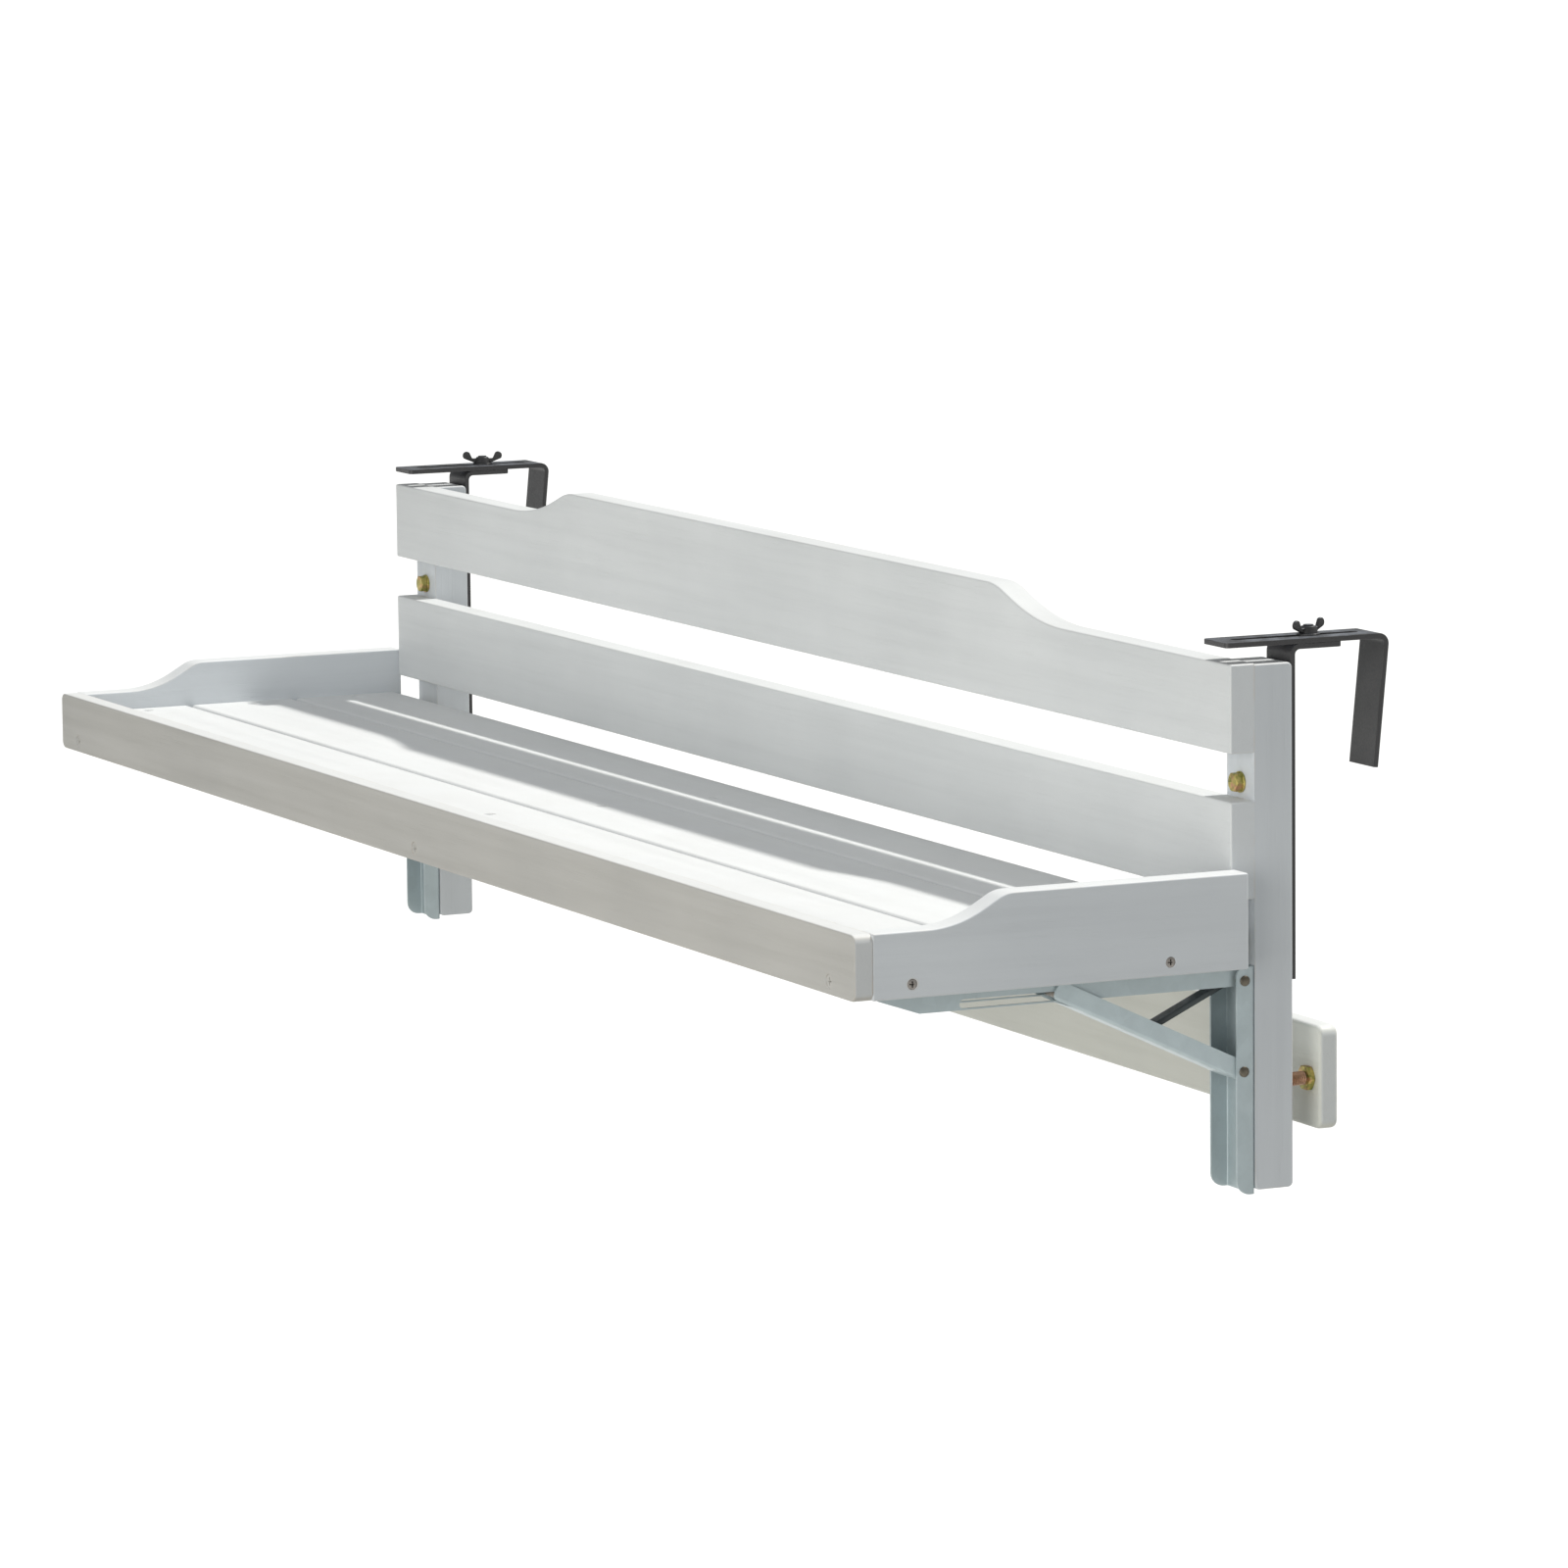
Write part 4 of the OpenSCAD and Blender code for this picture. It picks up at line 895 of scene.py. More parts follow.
def coated_finish(name, colour, wear=0.35, specular=0.5):
    """Dark baked coat with dust and a painted sky reflection on its upward faces, showing steel where its
    edges are rubbed.
    """
    if name in bpy.data.materials:
        return bpy.data.materials[name]
    material, tree, shader, coordinates = blank_material(name)
    grain = placed_group(tree, coat_grain_group(), {"Vector": coordinates})
    cloud = noise(tree, coordinates, scale=30, roughness=0.6)
    toned = mixed(tree, ranged(tree, cloud, 0.35, 0.65), opaque(colour), opaque(colour, COAT_SHADE))
    # Upward faces turn bluish grey: partly dust, partly a painted reflection of the sky
    settled = placed_group(tree, dust_group(), {
        "Vector": coordinates, "Amount": 0.8, "Patch Scale": 60.0})
    dusty = mixed(tree, settled["Mask"], toned, COAT_DUST_AND_SKY_SHEEN)
    rubbed = placed_group(tree, edge_wear_group(), {
        "Vector": coordinates, "Radius": 0.0006, "Amount": wear, "Patch Scale": 80.0})
    worn = mixed(tree, rubbed["Mask"], dusty, RUBBED_STEEL)
    tree.links.new(worn, shader.inputs["Base Color"])
    tree.links.new(grain["Roughness"], shader.inputs["Roughness"])
    shader.inputs["Specular IOR Level"].default_value = specular
    add_bump(tree, shader, grain["Height"], strength=0.2, distance=0.0001)
    return material


def painted_finish(name, stain):
    """Screw heads brushed over with the timber's stain."""
    if name in bpy.data.materials:
        return bpy.data.materials[name]
    material, tree, shader, coordinates = blank_material(name)
    grain = placed_group(tree, coat_grain_group(), {"Vector": coordinates, "Grain Scale": 500.0})
    strokes = noise(tree, coordinates, scale=420, roughness=0.6)
    thin = ranged(tree, strokes, 0.52, 0.7, to_high=0.5)
    brushed = mixed(tree, thin, opaque(stain, PAINT_SHADE), opaque(stain, PAINT_THIN_SHADE))
    tree.links.new(brushed, shader.inputs["Base Color"])
    tree.links.new(grain["Roughness"], shader.inputs["Roughness"])
    add_bump(tree, shader, grain["Height"], strength=0.3, distance=0.0002)
    return material


# Timber pieces

def rectangle(u0, u1, v0, v1):
    """Outline of a rectangle."""
    return [(u0, v0), (u1, v0), (u1, v1), (u0, v1)]


def round_rectangle(u0, u1, v0, v1, r, steps=CORNER_STEPS):
    """Outline of a rectangle with round corners."""
    return (arc((u1 - r, v0 + r), r, -90, 0, steps) + arc((u1 - r, v1 - r), r, 0, 90, steps)
            + arc((u0 + r, v1 - r), r, 90, 180, steps) + arc((u0 + r, v0 + r), r, 180, 270, steps))


def top_board_outline():
    """Front view of the top board with its raised middle and curved shoulders."""
    s = math.radians(SHOULDER_SLOPE)
    drop_out = SHOULDER_R_OUT * (1 - math.cos(s))
    drop_in = SHOULDER_R_IN * (1 - math.cos(s))
    run = (TOP_RISE - drop_out - drop_in) / math.tan(s)
    x_low = RISE_HALF + SHOULDER_R_OUT * math.sin(s) + run + SHOULDER_R_IN * math.sin(s)
    inner = arc((x_low, Z_TOP_LEVEL + SHOULDER_R_IN), SHOULDER_R_IN, 270, 270 - SHOULDER_SLOPE)
    outer = arc((RISE_HALF, TOP_HI.z - SHOULDER_R_OUT), SHOULDER_R_OUT, 90 - SHOULDER_SLOPE, 90)
    right = [(X_END, TOP_LO.z), (X_END, Z_TOP_LEVEL)] + inner + outer
    return right + [(-x, z) for x, z in reversed(right)]


def post_outline():
    """Side view of a post, its top back corner and its foot softened."""
    r = POST_CORNER_R
    y0, y1, z0, z1 = POST_LO.y, POST_HI.y, POST_LO.z, POST_HI.z
    foot = arc((y0 + r, z0 + r), r, 180, 270, CORNER_STEPS)
    foot += arc((y1 - r, z0 + r), r, 270, 360, CORNER_STEPS)
    return foot + arc((y1 - r, z1 - r), r, 0, 90, CORNER_STEPS) + [(y0, z1)]


def cheek_outline():
    """Side view of a cheek with its curve rising to the back."""
    s = math.radians(CHEEK_SLOPE)
    z_front = Z_SHELF + CHEEK_FRONT_H
    rise = CHEEK_HI.z - z_front
    up_in = CHEEK_R_IN * (1 - math.cos(s))
    up_out = CHEEK_R_OUT * (1 - math.cos(s))
    run = (rise - up_in - up_out) / math.tan(s)
    y_low = CHEEK_LO.y + CHEEK_LOW_LEN
    y_high = y_low + CHEEK_R_IN * math.sin(s) + run + CHEEK_R_OUT * math.sin(s)
    inner = arc((y_low, z_front + CHEEK_R_IN), CHEEK_R_IN, 270, 270 + CHEEK_SLOPE)
    outer = arc((y_high, CHEEK_HI.z - CHEEK_R_OUT), CHEEK_R_OUT, 90 + CHEEK_SLOPE, 90)
    start = [(CHEEK_HI.y, CHEEK_LO.z), (CHEEK_LO.y, CHEEK_LO.z), (CHEEK_LO.y, z_front)]
    return start + inner + outer + [(CHEEK_HI.y, CHEEK_HI.z)]


def sunk_cutter(name, places, length, share=1.0):
    """Countersunk holes at places whose Z axis points into the timber."""
    shank = SCREW_R * share
    head = SCREW_HEAD_R * share
    profile = [(0, -OVERRUN), (head, -OVERRUN), (head, SCREW_SUNK), (shank, head - shank + SCREW_SUNK),
               (shank, length), (0, length)]
    return repeated(name, turned(f"{name}_one", profile), places)


def bore_cutter(name, places, radius, start, end):
    """Round bores at places, from start to end along their Z axis."""
    profile = [(0, start), (radius, start), (radius, end), (0, end)]
    return repeated(name, turned(f"{name}_one", profile), places)


def nut_bore(name, radius, height):
    """Round bore along Z through a nut that stands on Z = 0."""
    return bore_cutter(name, [Matrix.Identity(4)], radius, -SHORT_OVERRUN, height + SHORT_OVERRUN)


def board_screw_places():
    """Board screws of the right post, from its back toward the user."""
    heights = (LOW_LO.z + BOARD_SCREW_IN, LOW_HI.z - BOARD_SCREW_IN,
               TOP_LO.z + BOARD_SCREW_IN, Z_TOP_LEVEL - BOARD_SCREW_IN)
    return [aimed((X_POST, Y_BACK, z), FRONT) for z in heights]


def strap_bolt_places():
    """Strap bolts of the right post, from its front to the railing."""
    return [aimed((X_POST, Y_POST, z), REAR) for z in Z_BOLTS]


def adjust_place():
    """Right adjusting bolt, from the post's back to the railing."""
    return aimed(ADJUST, REAR)


def cheek_screw_places():
    """Screws through the right cheek, toward the middle."""
    spots = (LIP_HI.y + CHEEK_SCREW_IN[0], SLAT_HI.y - CHEEK_SCREW_IN[1])
    return [aimed((CHEEK_HI.x, y, Z_SHELF + RIM_SCREW_UP), LEFT) for y in spots]


def lip_screw_places():
    """Screws through the lip, toward the railing."""
    return [aimed((x, LIP_LO.y, Z_SHELF + RIM_SCREW_UP), REAR) for x in X_BATTENS]


def slat_screw_places():
    """Screws down through each slat into each batten."""
    places = []
    for node in ("slat_back", "slat_middle", "slat_front"):
        low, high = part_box(node)
        y = (low.y + high.y) / 2 + SLAT_SCREW_SHIFT
        places += [aimed((x, y, high.z), DOWN) for x in X_BATTENS]
    return places


def arm_screw_places():
    """Screws up through the right arm's web."""
    return [aimed((X_POST, Y_FRONT - d, Z_SHELF - SHEET_T), UP) for d in ARM_SCREW_AT]


def wall_screw_places():
    """Large screws of the right wall channel, toward the railing."""
    y = Y_POST - WALL_WEB_T
    return [aimed((X_POST, y, WALL_HI.z - d), REAR) for d in WALL_SCREW_AT]


def wall_small_places():
    """Small screw of the right wall channel, toward the railing."""
    return [aimed((X_POST, Y_POST - WALL_WEB_T, WALL_HI.z - WALL_SMALL_AT), REAR)]


def make_boards():
    """Top board and lower board."""
    timber = bpy.context.scene.bar_table_timber
    # The boards' upward faces get half the painted highlight
    finish = timber_finish("board_white_stain", timber.board_stain, "X", painted_top_highlight=0.5)
    top = prism("top", top_board_outline(), "Y", TOP_LO.y, TOP_HI.y)
    dress(eased_beside(top, timber.board_ease, TOP_HI.y), "top_board", finish)
    low = prism("low", rectangle(LOW_LO.x, LOW_HI.x, LOW_LO.z, LOW_HI.z), "Y", LOW_LO.y, LOW_HI.y)
    dress(eased_beside(low, timber.board_ease, LOW_HI.y), "lower_board", finish)


def make_posts():
    """Two posts with their bores and screw holes."""
    timber = bpy.context.scene.bar_table_timber
    post = prism("post", post_outline(), "X", POST_LO.x, POST_HI.x)
    eased_beside(post, timber.board_ease, POST_LO.y)
    depth = POST_HI.y - POST_LO.y
    carved(
        post,
        sunk_cutter("holes", board_screw_places(), depth + OVERRUN),
        bore_cutter("bolt_bores", strap_bolt_places(), STRAP_BOLT_R + RUN_FIT, -OVERRUN, depth + OVERRUN),
        bore_cutter("insert_bore", [adjust_place()], INSERT_R, -INSERT_LEN, OVERRUN),
        bore_cutter("collar_bore", [adjust_place()], INSERT_COLLAR_R, -INSERT_COLLAR_T, OVERRUN))
    # The posts' colour is partly painted cool shade
    dress_pair(post, "post", timber_finish("post_white_stain", timber.post_stain_and_shade, "Z"))


def make_rim():
    """Front lip and the two cheeks."""
    timber = bpy.context.scene.bar_table_timber
    outline = round_rectangle(LIP_LO.x, LIP_HI.x, LIP_LO.z, LIP_HI.z, timber.lip_corner)
    lip = prism("lip", outline, "Y", LIP_LO.y, LIP_HI.y)
    eased_beside(lip, timber.board_ease, LIP_HI.y)
    carved(lip, sunk_cutter("lip_holes", lip_screw_places(), LIP_SCREW_LEN))
    # The lip's colour is partly painted shade on its front
    dress(lip, "front_lip", timber_finish("lip_white_stain", timber.rim_stain_and_shade, "X", wear=0.6))
    cheek = eased(prism("cheek", cheek_outline(), "X", CHEEK_LO.x, CHEEK_HI.x), timber.board_ease)
    carved(cheek, sunk_cutter("cheek_holes", cheek_screw_places(), CHEEK_SCREW_LEN, CHEEK_SCREW_SHARE))
    # The cheeks' colour is partly painted cool shade
    dress_pair(cheek, "cheek", timber_finish("cheek_white_stain", timber.post_stain_and_shade, "Y", wear=0.6))


def make_slats():
    """Three slats with their screw holes."""
    timber = bpy.context.scene.bar_table_timber
    finish = timber_finish("slat_white_stain", timber.slat_stain, "X", dust=0.1)
    for node in ("slat_back", "slat_middle", "slat_front"):
        low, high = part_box(node)
        slat = prism(node + "_blank", rectangle(low.y, high.y, low.z, high.z), "X", low.x, high.x)
        eased(slat, timber.slat_ease)
        inside = [p for p in slat_screw_places() if low.y < p.translation.y < high.y]
        dress(carved(slat, sunk_cutter("slat_holes", inside, SLAT_SCREW_LEN)), node, finish)


def make_battens():
    """Three battens under the slats."""
    timber = bpy.context.scene.bar_table_timber
    finish = timber_finish("batten_stain", timber.stop_stain, "Y")
    for node in ("batten_left", "batten_centre", "batten_right"):
        low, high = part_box(node)
        batten = prism(node + "_blank", rectangle(low.x, high.x, low.z, high.z), "Y", low.y, high.y)
        dress(eased(batten, timber.slat_ease / 2), node, finish)


def make_stop_board():
    """Stop board with its countersunk bolt holes."""
    timber = bpy.context.scene.bar_table_timber
    outline = round_rectangle(STOP_LO.x, STOP_HI.x, STOP_LO.z, STOP_HI.z, STOP_CORNER_R)
    board = eased(prism("stop", outline, "Y", STOP_LO.y, STOP_HI.y), timber.stop_ease, segments=4)
    sink = ADJUST_HEAD_R - BOLT_R
    back = STOP_HI.y - Y_BACK
    profile = [(0, 0), (BOLT_R, 0), (BOLT_R, back - sink), (ADJUST_HEAD_R, back),
               (ADJUST_HEAD_R, back + OVERRUN), (0, back + OVERRUN)]
    holes = repeated("stop_holes", turned("stop_hole", profile), both_ends([adjust_place()]))
    dress(carved(board, holes), "stop_board", timber_finish("stop_cream_stain", timber.stop_stain, "X"))


# Folding brackets

def folded_outline(half, inner_half, web, inner_web, edge, bend):
    """Cross-section of a channel; its web is at one height and its free edges at another."""
    up = 1 if edge > web else -1
    side = bend - (half - inner_half)
    turns = [math.radians(90 * n / FOLD_STEPS) for n in range(FOLD_STEPS + 1)]
    outer = [(half - bend + bend * math.sin(a), web + up * bend * (1 - math.cos(a))) for a in turns]
    inner = [(inner_half - side + side * math.sin(a), inner_web + up * side * (1 - math.cos(a)))
             for a in turns]
    right = outer + [(half, edge), (inner_half, edge)] + inner[::-1]
    return right + [(-x, z) for x, z in reversed(right)]


def channel(name, section, axis, span, silhouette):
    """Folded channel along an axis whose side view is cut to a silhouette."""
    blank = prism(name, section, axis, *span)
    low = min(v.co.x for v in blank.data.vertices) - SHORT_OVERRUN
    high = max(v.co.x for v in blank.data.vertices) + SHORT_OVERRUN
    return combined(blank, prism(f"{name}_side", silhouette, "X", low, high), "INTERSECT")


def cross_bore(name, y, z, radius, half):
    """Round bore along X through both flanges of a channel at the right post."""
    return bore_cutter(name, [aimed((X_POST - half, y, z), RIGHT)], radius, 0, 2 * half)


def pivot_bore(name, half):
    """Round bore along X at the pivot of a brace or stay that isn't in its place yet."""
    return bore_cutter(name, [aimed((-2 * half, 0, 0), RIGHT)], PIN_R + RUN_FIT, 0, 4 * half)


def make_wall_channels():
    """Channels screwed to the posts' fronts."""
    metal = bpy.context.scene.bar_table_metal
    half = (WALL_HI.x - WALL_LO.x) / 2
    section = folded_outline(half, half - SHEET_T, Y_POST, Y_POST - WALL_WEB_T, WALL_LO.y,
                             metal.sheet_bend)
    section = [(X_POST + x, y) for x, y in section]
    r = WALL_CORNER_R
    behind = Y_POST + SHORT_OVERRUN
    silhouette = ([(behind, WALL_LO.z), (behind, WALL_HI.z)]
                  + arc((WALL_LO.y + r, WALL_HI.z - r), r, 90, 180)
                  + arc((WALL_LO.y + WALL_FOOT_R, WALL_LO.z + WALL_FOOT_R), WALL_FOOT_R, 180, 270))
    wall = channel("wall", section, "Z", (WALL_LO.z, WALL_HI.z), silhouette)
    eased(wall, metal.steel_ease, 2, STEEL_SHARP_ANGLE)
    carved(
        wall,
        cross_bore("hinge_bore", HINGE.y, HINGE.z, PIN_R, 2 * half),
        cross_bore("rivet_bore", BRACE_PIVOT.y, BRACE_PIVOT.z, PIN_R, 2 * half),
        sunk_cutter("wall_holes", wall_screw_places(), WALL_SCREW_LEN),
        sunk_cutter("wall_small_hole", wall_small_places(), WALL_SCREW_LEN, SMALL_SCREW_SHARE))
    dress_pair(wall, "wall_channel", zinc_finish("bracket_zinc", metal.zinc))


def make_arm_channels():
    """Channels under the outer battens that carry the shelf."""
    metal = bpy.context.scene.bar_table_metal
    half = (ARM_HI.x - ARM_LO.x) / 2
    section = folded_outline(half, half - SHEET_T, Z_SHELF, Z_SHELF - SHEET_T, HINGE.z - ARM_END_R,
                             metal.sheet_bend)
    section = [(X_POST + x, z) for x, z in section]
    lower = Z_SHELF - ARM_H
    silhouette = [(Y_FRONT - ARM_WEB_START, Z_SHELF), (ARM_LO.y, Z_SHELF),
                  (ARM_LO.y, Z_SHELF - ARM_TIP_H), (ARM_LO.y + ARM_BEVEL, lower),
                  (HINGE.y - ARM_LOW_END, lower)]
    silhouette += arc((HINGE.y, HINGE.z), ARM_END_R, 230, 450)
    arm = channel("arm", section, "Y", (ARM_LO.y, HINGE.y + ARM_END_R), silhouette)
    eased(arm, metal.steel_ease, 2, STEEL_SHARP_ANGLE)
    r = SLIDE_R + RUN_FIT
    slot = arc((SLIDE.y + SLOT_PAST_PIN, HINGE.z), r, -90, 90)
    slot += arc((SLIDE.y - SLOT_LONG, HINGE.z), r, 90, 270)
    carved(
        arm,
        cross_bore("arm_bore", HINGE.y, HINGE.z, PIN_R + RUN_FIT, 2 * half),
        prism("arm_slots", slot, "X", X_POST - 2 * half, X_POST + 2 * half),
        bore_cutter("arm_holes", arm_screw_places(), SCREW_R, *ARM_HOLE_SPAN))
    dress_pair(arm, "arm_channel", zinc_finish("bracket_zinc", metal.zinc))


def make_braces():
    """Slanting channels from the wall rivets up to the arms."""
    metal = bpy.context.scene.bar_table_metal
    half = (BRACE_HI.x - BRACE_LO.x) / 2
    reach = math.hypot(SLIDE.y - BRACE_PIVOT.y, SLIDE.z - BRACE_PIVOT.z)
    rise = math.atan2(SLIDE.z - BRACE_PIVOT.z, BRACE_PIVOT.y - SLIDE.y)
    section = folded_outline(half, half - SHEET_T, -BRACE_WEB_OUT, BRACE_WEB_T - BRACE_WEB_OUT,
                             BRACE_EDGE, metal.sheet_bend)
    tip = -reach - BRACE_END_R
    low = math.degrees(math.asin(BRACE_WEB_OUT / BRACE_END_R))
    high = math.degrees(math.asin(BRACE_EDGE / BRACE_END_R))
    silhouette = arc((0, 0), BRACE_WEB_OUT, 90, -90)
    silhouette += arc((-reach, 0), BRACE_END_R, 180 + low, 180 - high) + [(-BRACE_WEB_OUT, BRACE_EDGE)]
    brace = channel("brace", section, "Y", (tip, BRACE_WEB_OUT), silhouette)
    deep = 2 * BRACE_WEB_OUT
    ends = [rectangle(0, deep, -deep, deep), rectangle(tip - deep, BRACE_WEB_OUT - reach, -deep, deep)]
    web_ends = [prism(f"web_end_{n}", end, "X", SHEET_T - half, half - SHEET_T)
                for n, end in enumerate(ends)]
    carved(brace, *web_ends, pivot_bore("brace_bore", half))
    eased(brace, metal.steel_ease, 2, STEEL_SHARP_ANGLE)
    centre = Vector((X_POST, BRACE_PIVOT.y, BRACE_PIVOT.z))
    brace.data.transform(Matrix.Translation(centre) @ Matrix.Rotation(-rise, 4, "X"))
    dress_pair(brace, "brace", zinc_finish("brace_zinc", Vector(metal.zinc) * BRACE_ZINC_SHADE))


def make_stays():
    """Dark bars from the hinge pins down to the braces' webs."""
    metal = bpy.context.scene.bar_table_metal
    half = (STAY_HI.x - STAY_LO.x) / 2
    foot = Vector((0, STAY_LO.y + STAY_FOOT_R, STAY_LO.z + STAY_FOOT_R))
    reach = math.hypot(foot.y - HINGE.y, foot.z - HINGE.z)
    fall = math.atan2(HINGE.z - foot.z, HINGE.y - foot.y)
    spread = math.degrees(math.asin(STAY_T / 2 / STAY_EYE_R))
    spread_foot = math.degrees(math.asin(STAY_T / 2 / STAY_FOOT_R))
    outline = arc((0, 0), STAY_EYE_R, spread - 180, 180 - spread)
    outline += arc((-reach, 0), STAY_FOOT_R, spread_foot, 360 - spread_foot)
    stay = eased(prism("stay", outline, "X", -half, half), STAY_EASE, angle=STEEL_SHARP_ANGLE)
    carved(stay, pivot_bore("stay_bore", half))
    centre = Vector((X_POST, HINGE.y, HINGE.z))
    stay.data.transform(Matrix.Translation(centre) @ Matrix.Rotation(fall, 4, "X"))
    dress_pair(stay, "stay", coated_finish("stay_lacquer", metal.stay, wear=0.7))


def domed_head(radius, height, sign=1):
    """Profile of a domed head from its rim to its middle, above its face or, with sign -1, below."""
    rim = height * DOME_RIM_SHARE
    crown = [(radius * math.cos(math.radians(a)), rim + (height - rim) * math.sin(math.radians(a)))
             for a in DOME_ANGLES]
    return [(r, sign * h) for r, h in crown] + [(0, sign * height)]


def make_pins():
    """Hinge pins, their washers and sleeves, brace rivets and slide pins."""
    metal = bpy.context.scene.bar_table_metal
    finish = zinc_finish("oiled_pin_steel", metal.pin, metallic=0.85, wear=0.06, patch_scale=300.0,
                         contrast=0.7)
    half = (WALL_HI.x - WALL_LO.x) / 2
    lower = [(r, -half - h) for r, h in domed_head(PIN_HEAD_R, PIN_HEAD_H)][::-1]
    upper = [(r, half + h) for r, h in domed_head(PIN_HEAD_R, PIN_HEAD_H)]
    shaft = [(PIN_HEAD_R, -half), (PIN_R, -half), (PIN_R, half), (PIN_HEAD_R, half)]
    hinge = aimed((X_POST, HINGE.y, HINGE.z), RIGHT)
    pins = repeated("pins", turned("pin", lower + shaft + upper), both_ends([hinge]))
    dress(pins, "hinge_pins", finish)
    dress(make_spacers(), "hinge_spacers", finish)
    dress(make_rivets(), "brace_rivets", finish)
    out = (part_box("slide_pin_right")[1].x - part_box("slide_pin_right")[0].x) / 2
    inner = (ARM_HI.x - ARM_LO.x) / 2 - SHEET_T - 2 * RUN_FIT
    ease = TURNED_EASE
    profile = [(0, -out), (SLIDE_R - ease, -out), (SLIDE_R, ease - out), (SLIDE_R, -inner),
               (SLIDE_MID_R, -inner), (SLIDE_MID_R, inner), (SLIDE_R, inner),
               (SLIDE_R, out - ease), (SLIDE_R - ease, out), (0, out)]
    pin = turned("slide", profile)
    pin.data.transform(aimed((X_POST, SLIDE.y, SLIDE.z), RIGHT))
    dress_pair(pin, "slide_pin", finish)


def ring(name, inner, outer, start, end, ease=RING_EASE):
    """Washer or sleeve along Z with broken edges."""
    profile = [(inner, start), (outer - ease, start), (outer, start + ease), (outer, end - ease),
               (outer - ease, end), (inner, end)]
    return turned(name, profile, closed=True)


def make_spacers():
    """Washers outside each arm and sleeves beside each stay."""
    arm_half = (ARM_HI.x - ARM_LO.x) / 2
    wall_in = (WALL_HI.x - WALL_LO.x) / 2 - SHEET_T
    stay_half = (STAY_HI.x - STAY_LO.x) / 2
    rings = [ring("washer", PIN_R, SPACER_R, arm_half + RUN_FIT, wall_in),
             ring("sleeve", PIN_R, SPACER_R, stay_half + RUN_FIT, arm_half - SHEET_T - RUN_FIT)]
    at = Vector((X_POST, HINGE.y, HINGE.z))
    places = [aimed(at, RIGHT), aimed(at, LEFT)]
    return repeated("spacers", merged("spacer_pair", rings), both_ends(places))


def make_rivets():
    """Stub rivets through the wall flanges and the braces' flanges."""
    half = (WALL_HI.x - WALL_LO.x) / 2
    inside = (BRACE_HI.x - BRACE_LO.x) / 2 - SHEET_T
    head = [(r, half + h) for r, h in domed_head(PIN_HEAD_R, PIN_HEAD_H)]
    profile = [(0, inside), (PIN_R, inside), (PIN_R, half), (PIN_HEAD_R, half)] + head
    at = Vector((X_POST, BRACE_PIVOT.y, BRACE_PIVOT.z))
    places = [aimed(at, RIGHT), aimed(at, LEFT)]
    return repeated("rivets", turned("rivet", profile), both_ends(places))


# Hooks and straps

def hook_side(r):
    """One side of the hook's bent bar in side view, from the arm's front end to the leg's foot."""
    bend = (HOOK_HI.y - BEND_R, 2 * BAR_T - BEND_R)
    lean = math.radians(HOOK_LEAN)
    curve = arc(bend, r, 90, -HOOK_LEAN, HOOK_BEND_STEPS)
    foot = (curve[-1][0] - HOOK_LEG * math.sin(lean), curve[-1][1] - HOOK_LEG * math.cos(lean))
    return [(HOOK_LO.y, bend[1] + r)] + curve + [foot]


def corner_waste(name, x0, x1, y, side, z0, z1):
    """Waste that rounds the two corners of a flat bar's end at y; side is 1 at its rear end."""
    r = BAR_CORNER_R
    cutters = []
    for x, inward in ((x0, 1), (x1, -1)):
        centre = (x + inward * r, y - side * r)
        start = 90 if side > 0 else 270
        turn = 90 * inward * side
        curve = arc(centre, r, start, start + turn, BAR_CORNER_STEPS)
        beside = x - inward * OVERRUN
        beyond = y + side * OVERRUN
        corner = [(beside, y - side * r), (beside, beyond), (centre[0], beyond)]
        cutters.append(prism(f"{name}_{inward}", curve + corner, "Z", z0, z1))
    return cutters


def make_hooks():
    """Slotted arms with a leg behind the railing."""
    metal = bpy.context.scene.bar_table_metal
    half = (HOOK_HI.x - HOOK_LO.x) / 2
    outline = hook_side(BEND_R) + hook_side(BEND_R - BAR_T)[::-1]
    hook = prism("hook", outline, "X", X_POST - half, X_POST + half)
    z0 = BAR_T - OVERRUN
    z1 = 2 * BAR_T + OVERRUN
    carved(hook, *corner_waste("hook_corner", X_POST - half, X_POST + half, HOOK_LO.y, -1, z0, z1))
    eased(hook, metal.steel_ease, 2, STEEL_SHARP_ANGLE)
    front = arc((X_POST, CLAMP_Y - SLOT_FRONT), SLOT_R, 180, 360)
    rear = arc((X_POST, CLAMP_Y + SLOT_REAR), SLOT_R, 0, 180)
    carved(hook, prism("hook_slot", front + rear, "Z", z0, z1))
    dress_pair(hook, "hook_arm", coated_finish("hook_powder_coat", metal.hook))


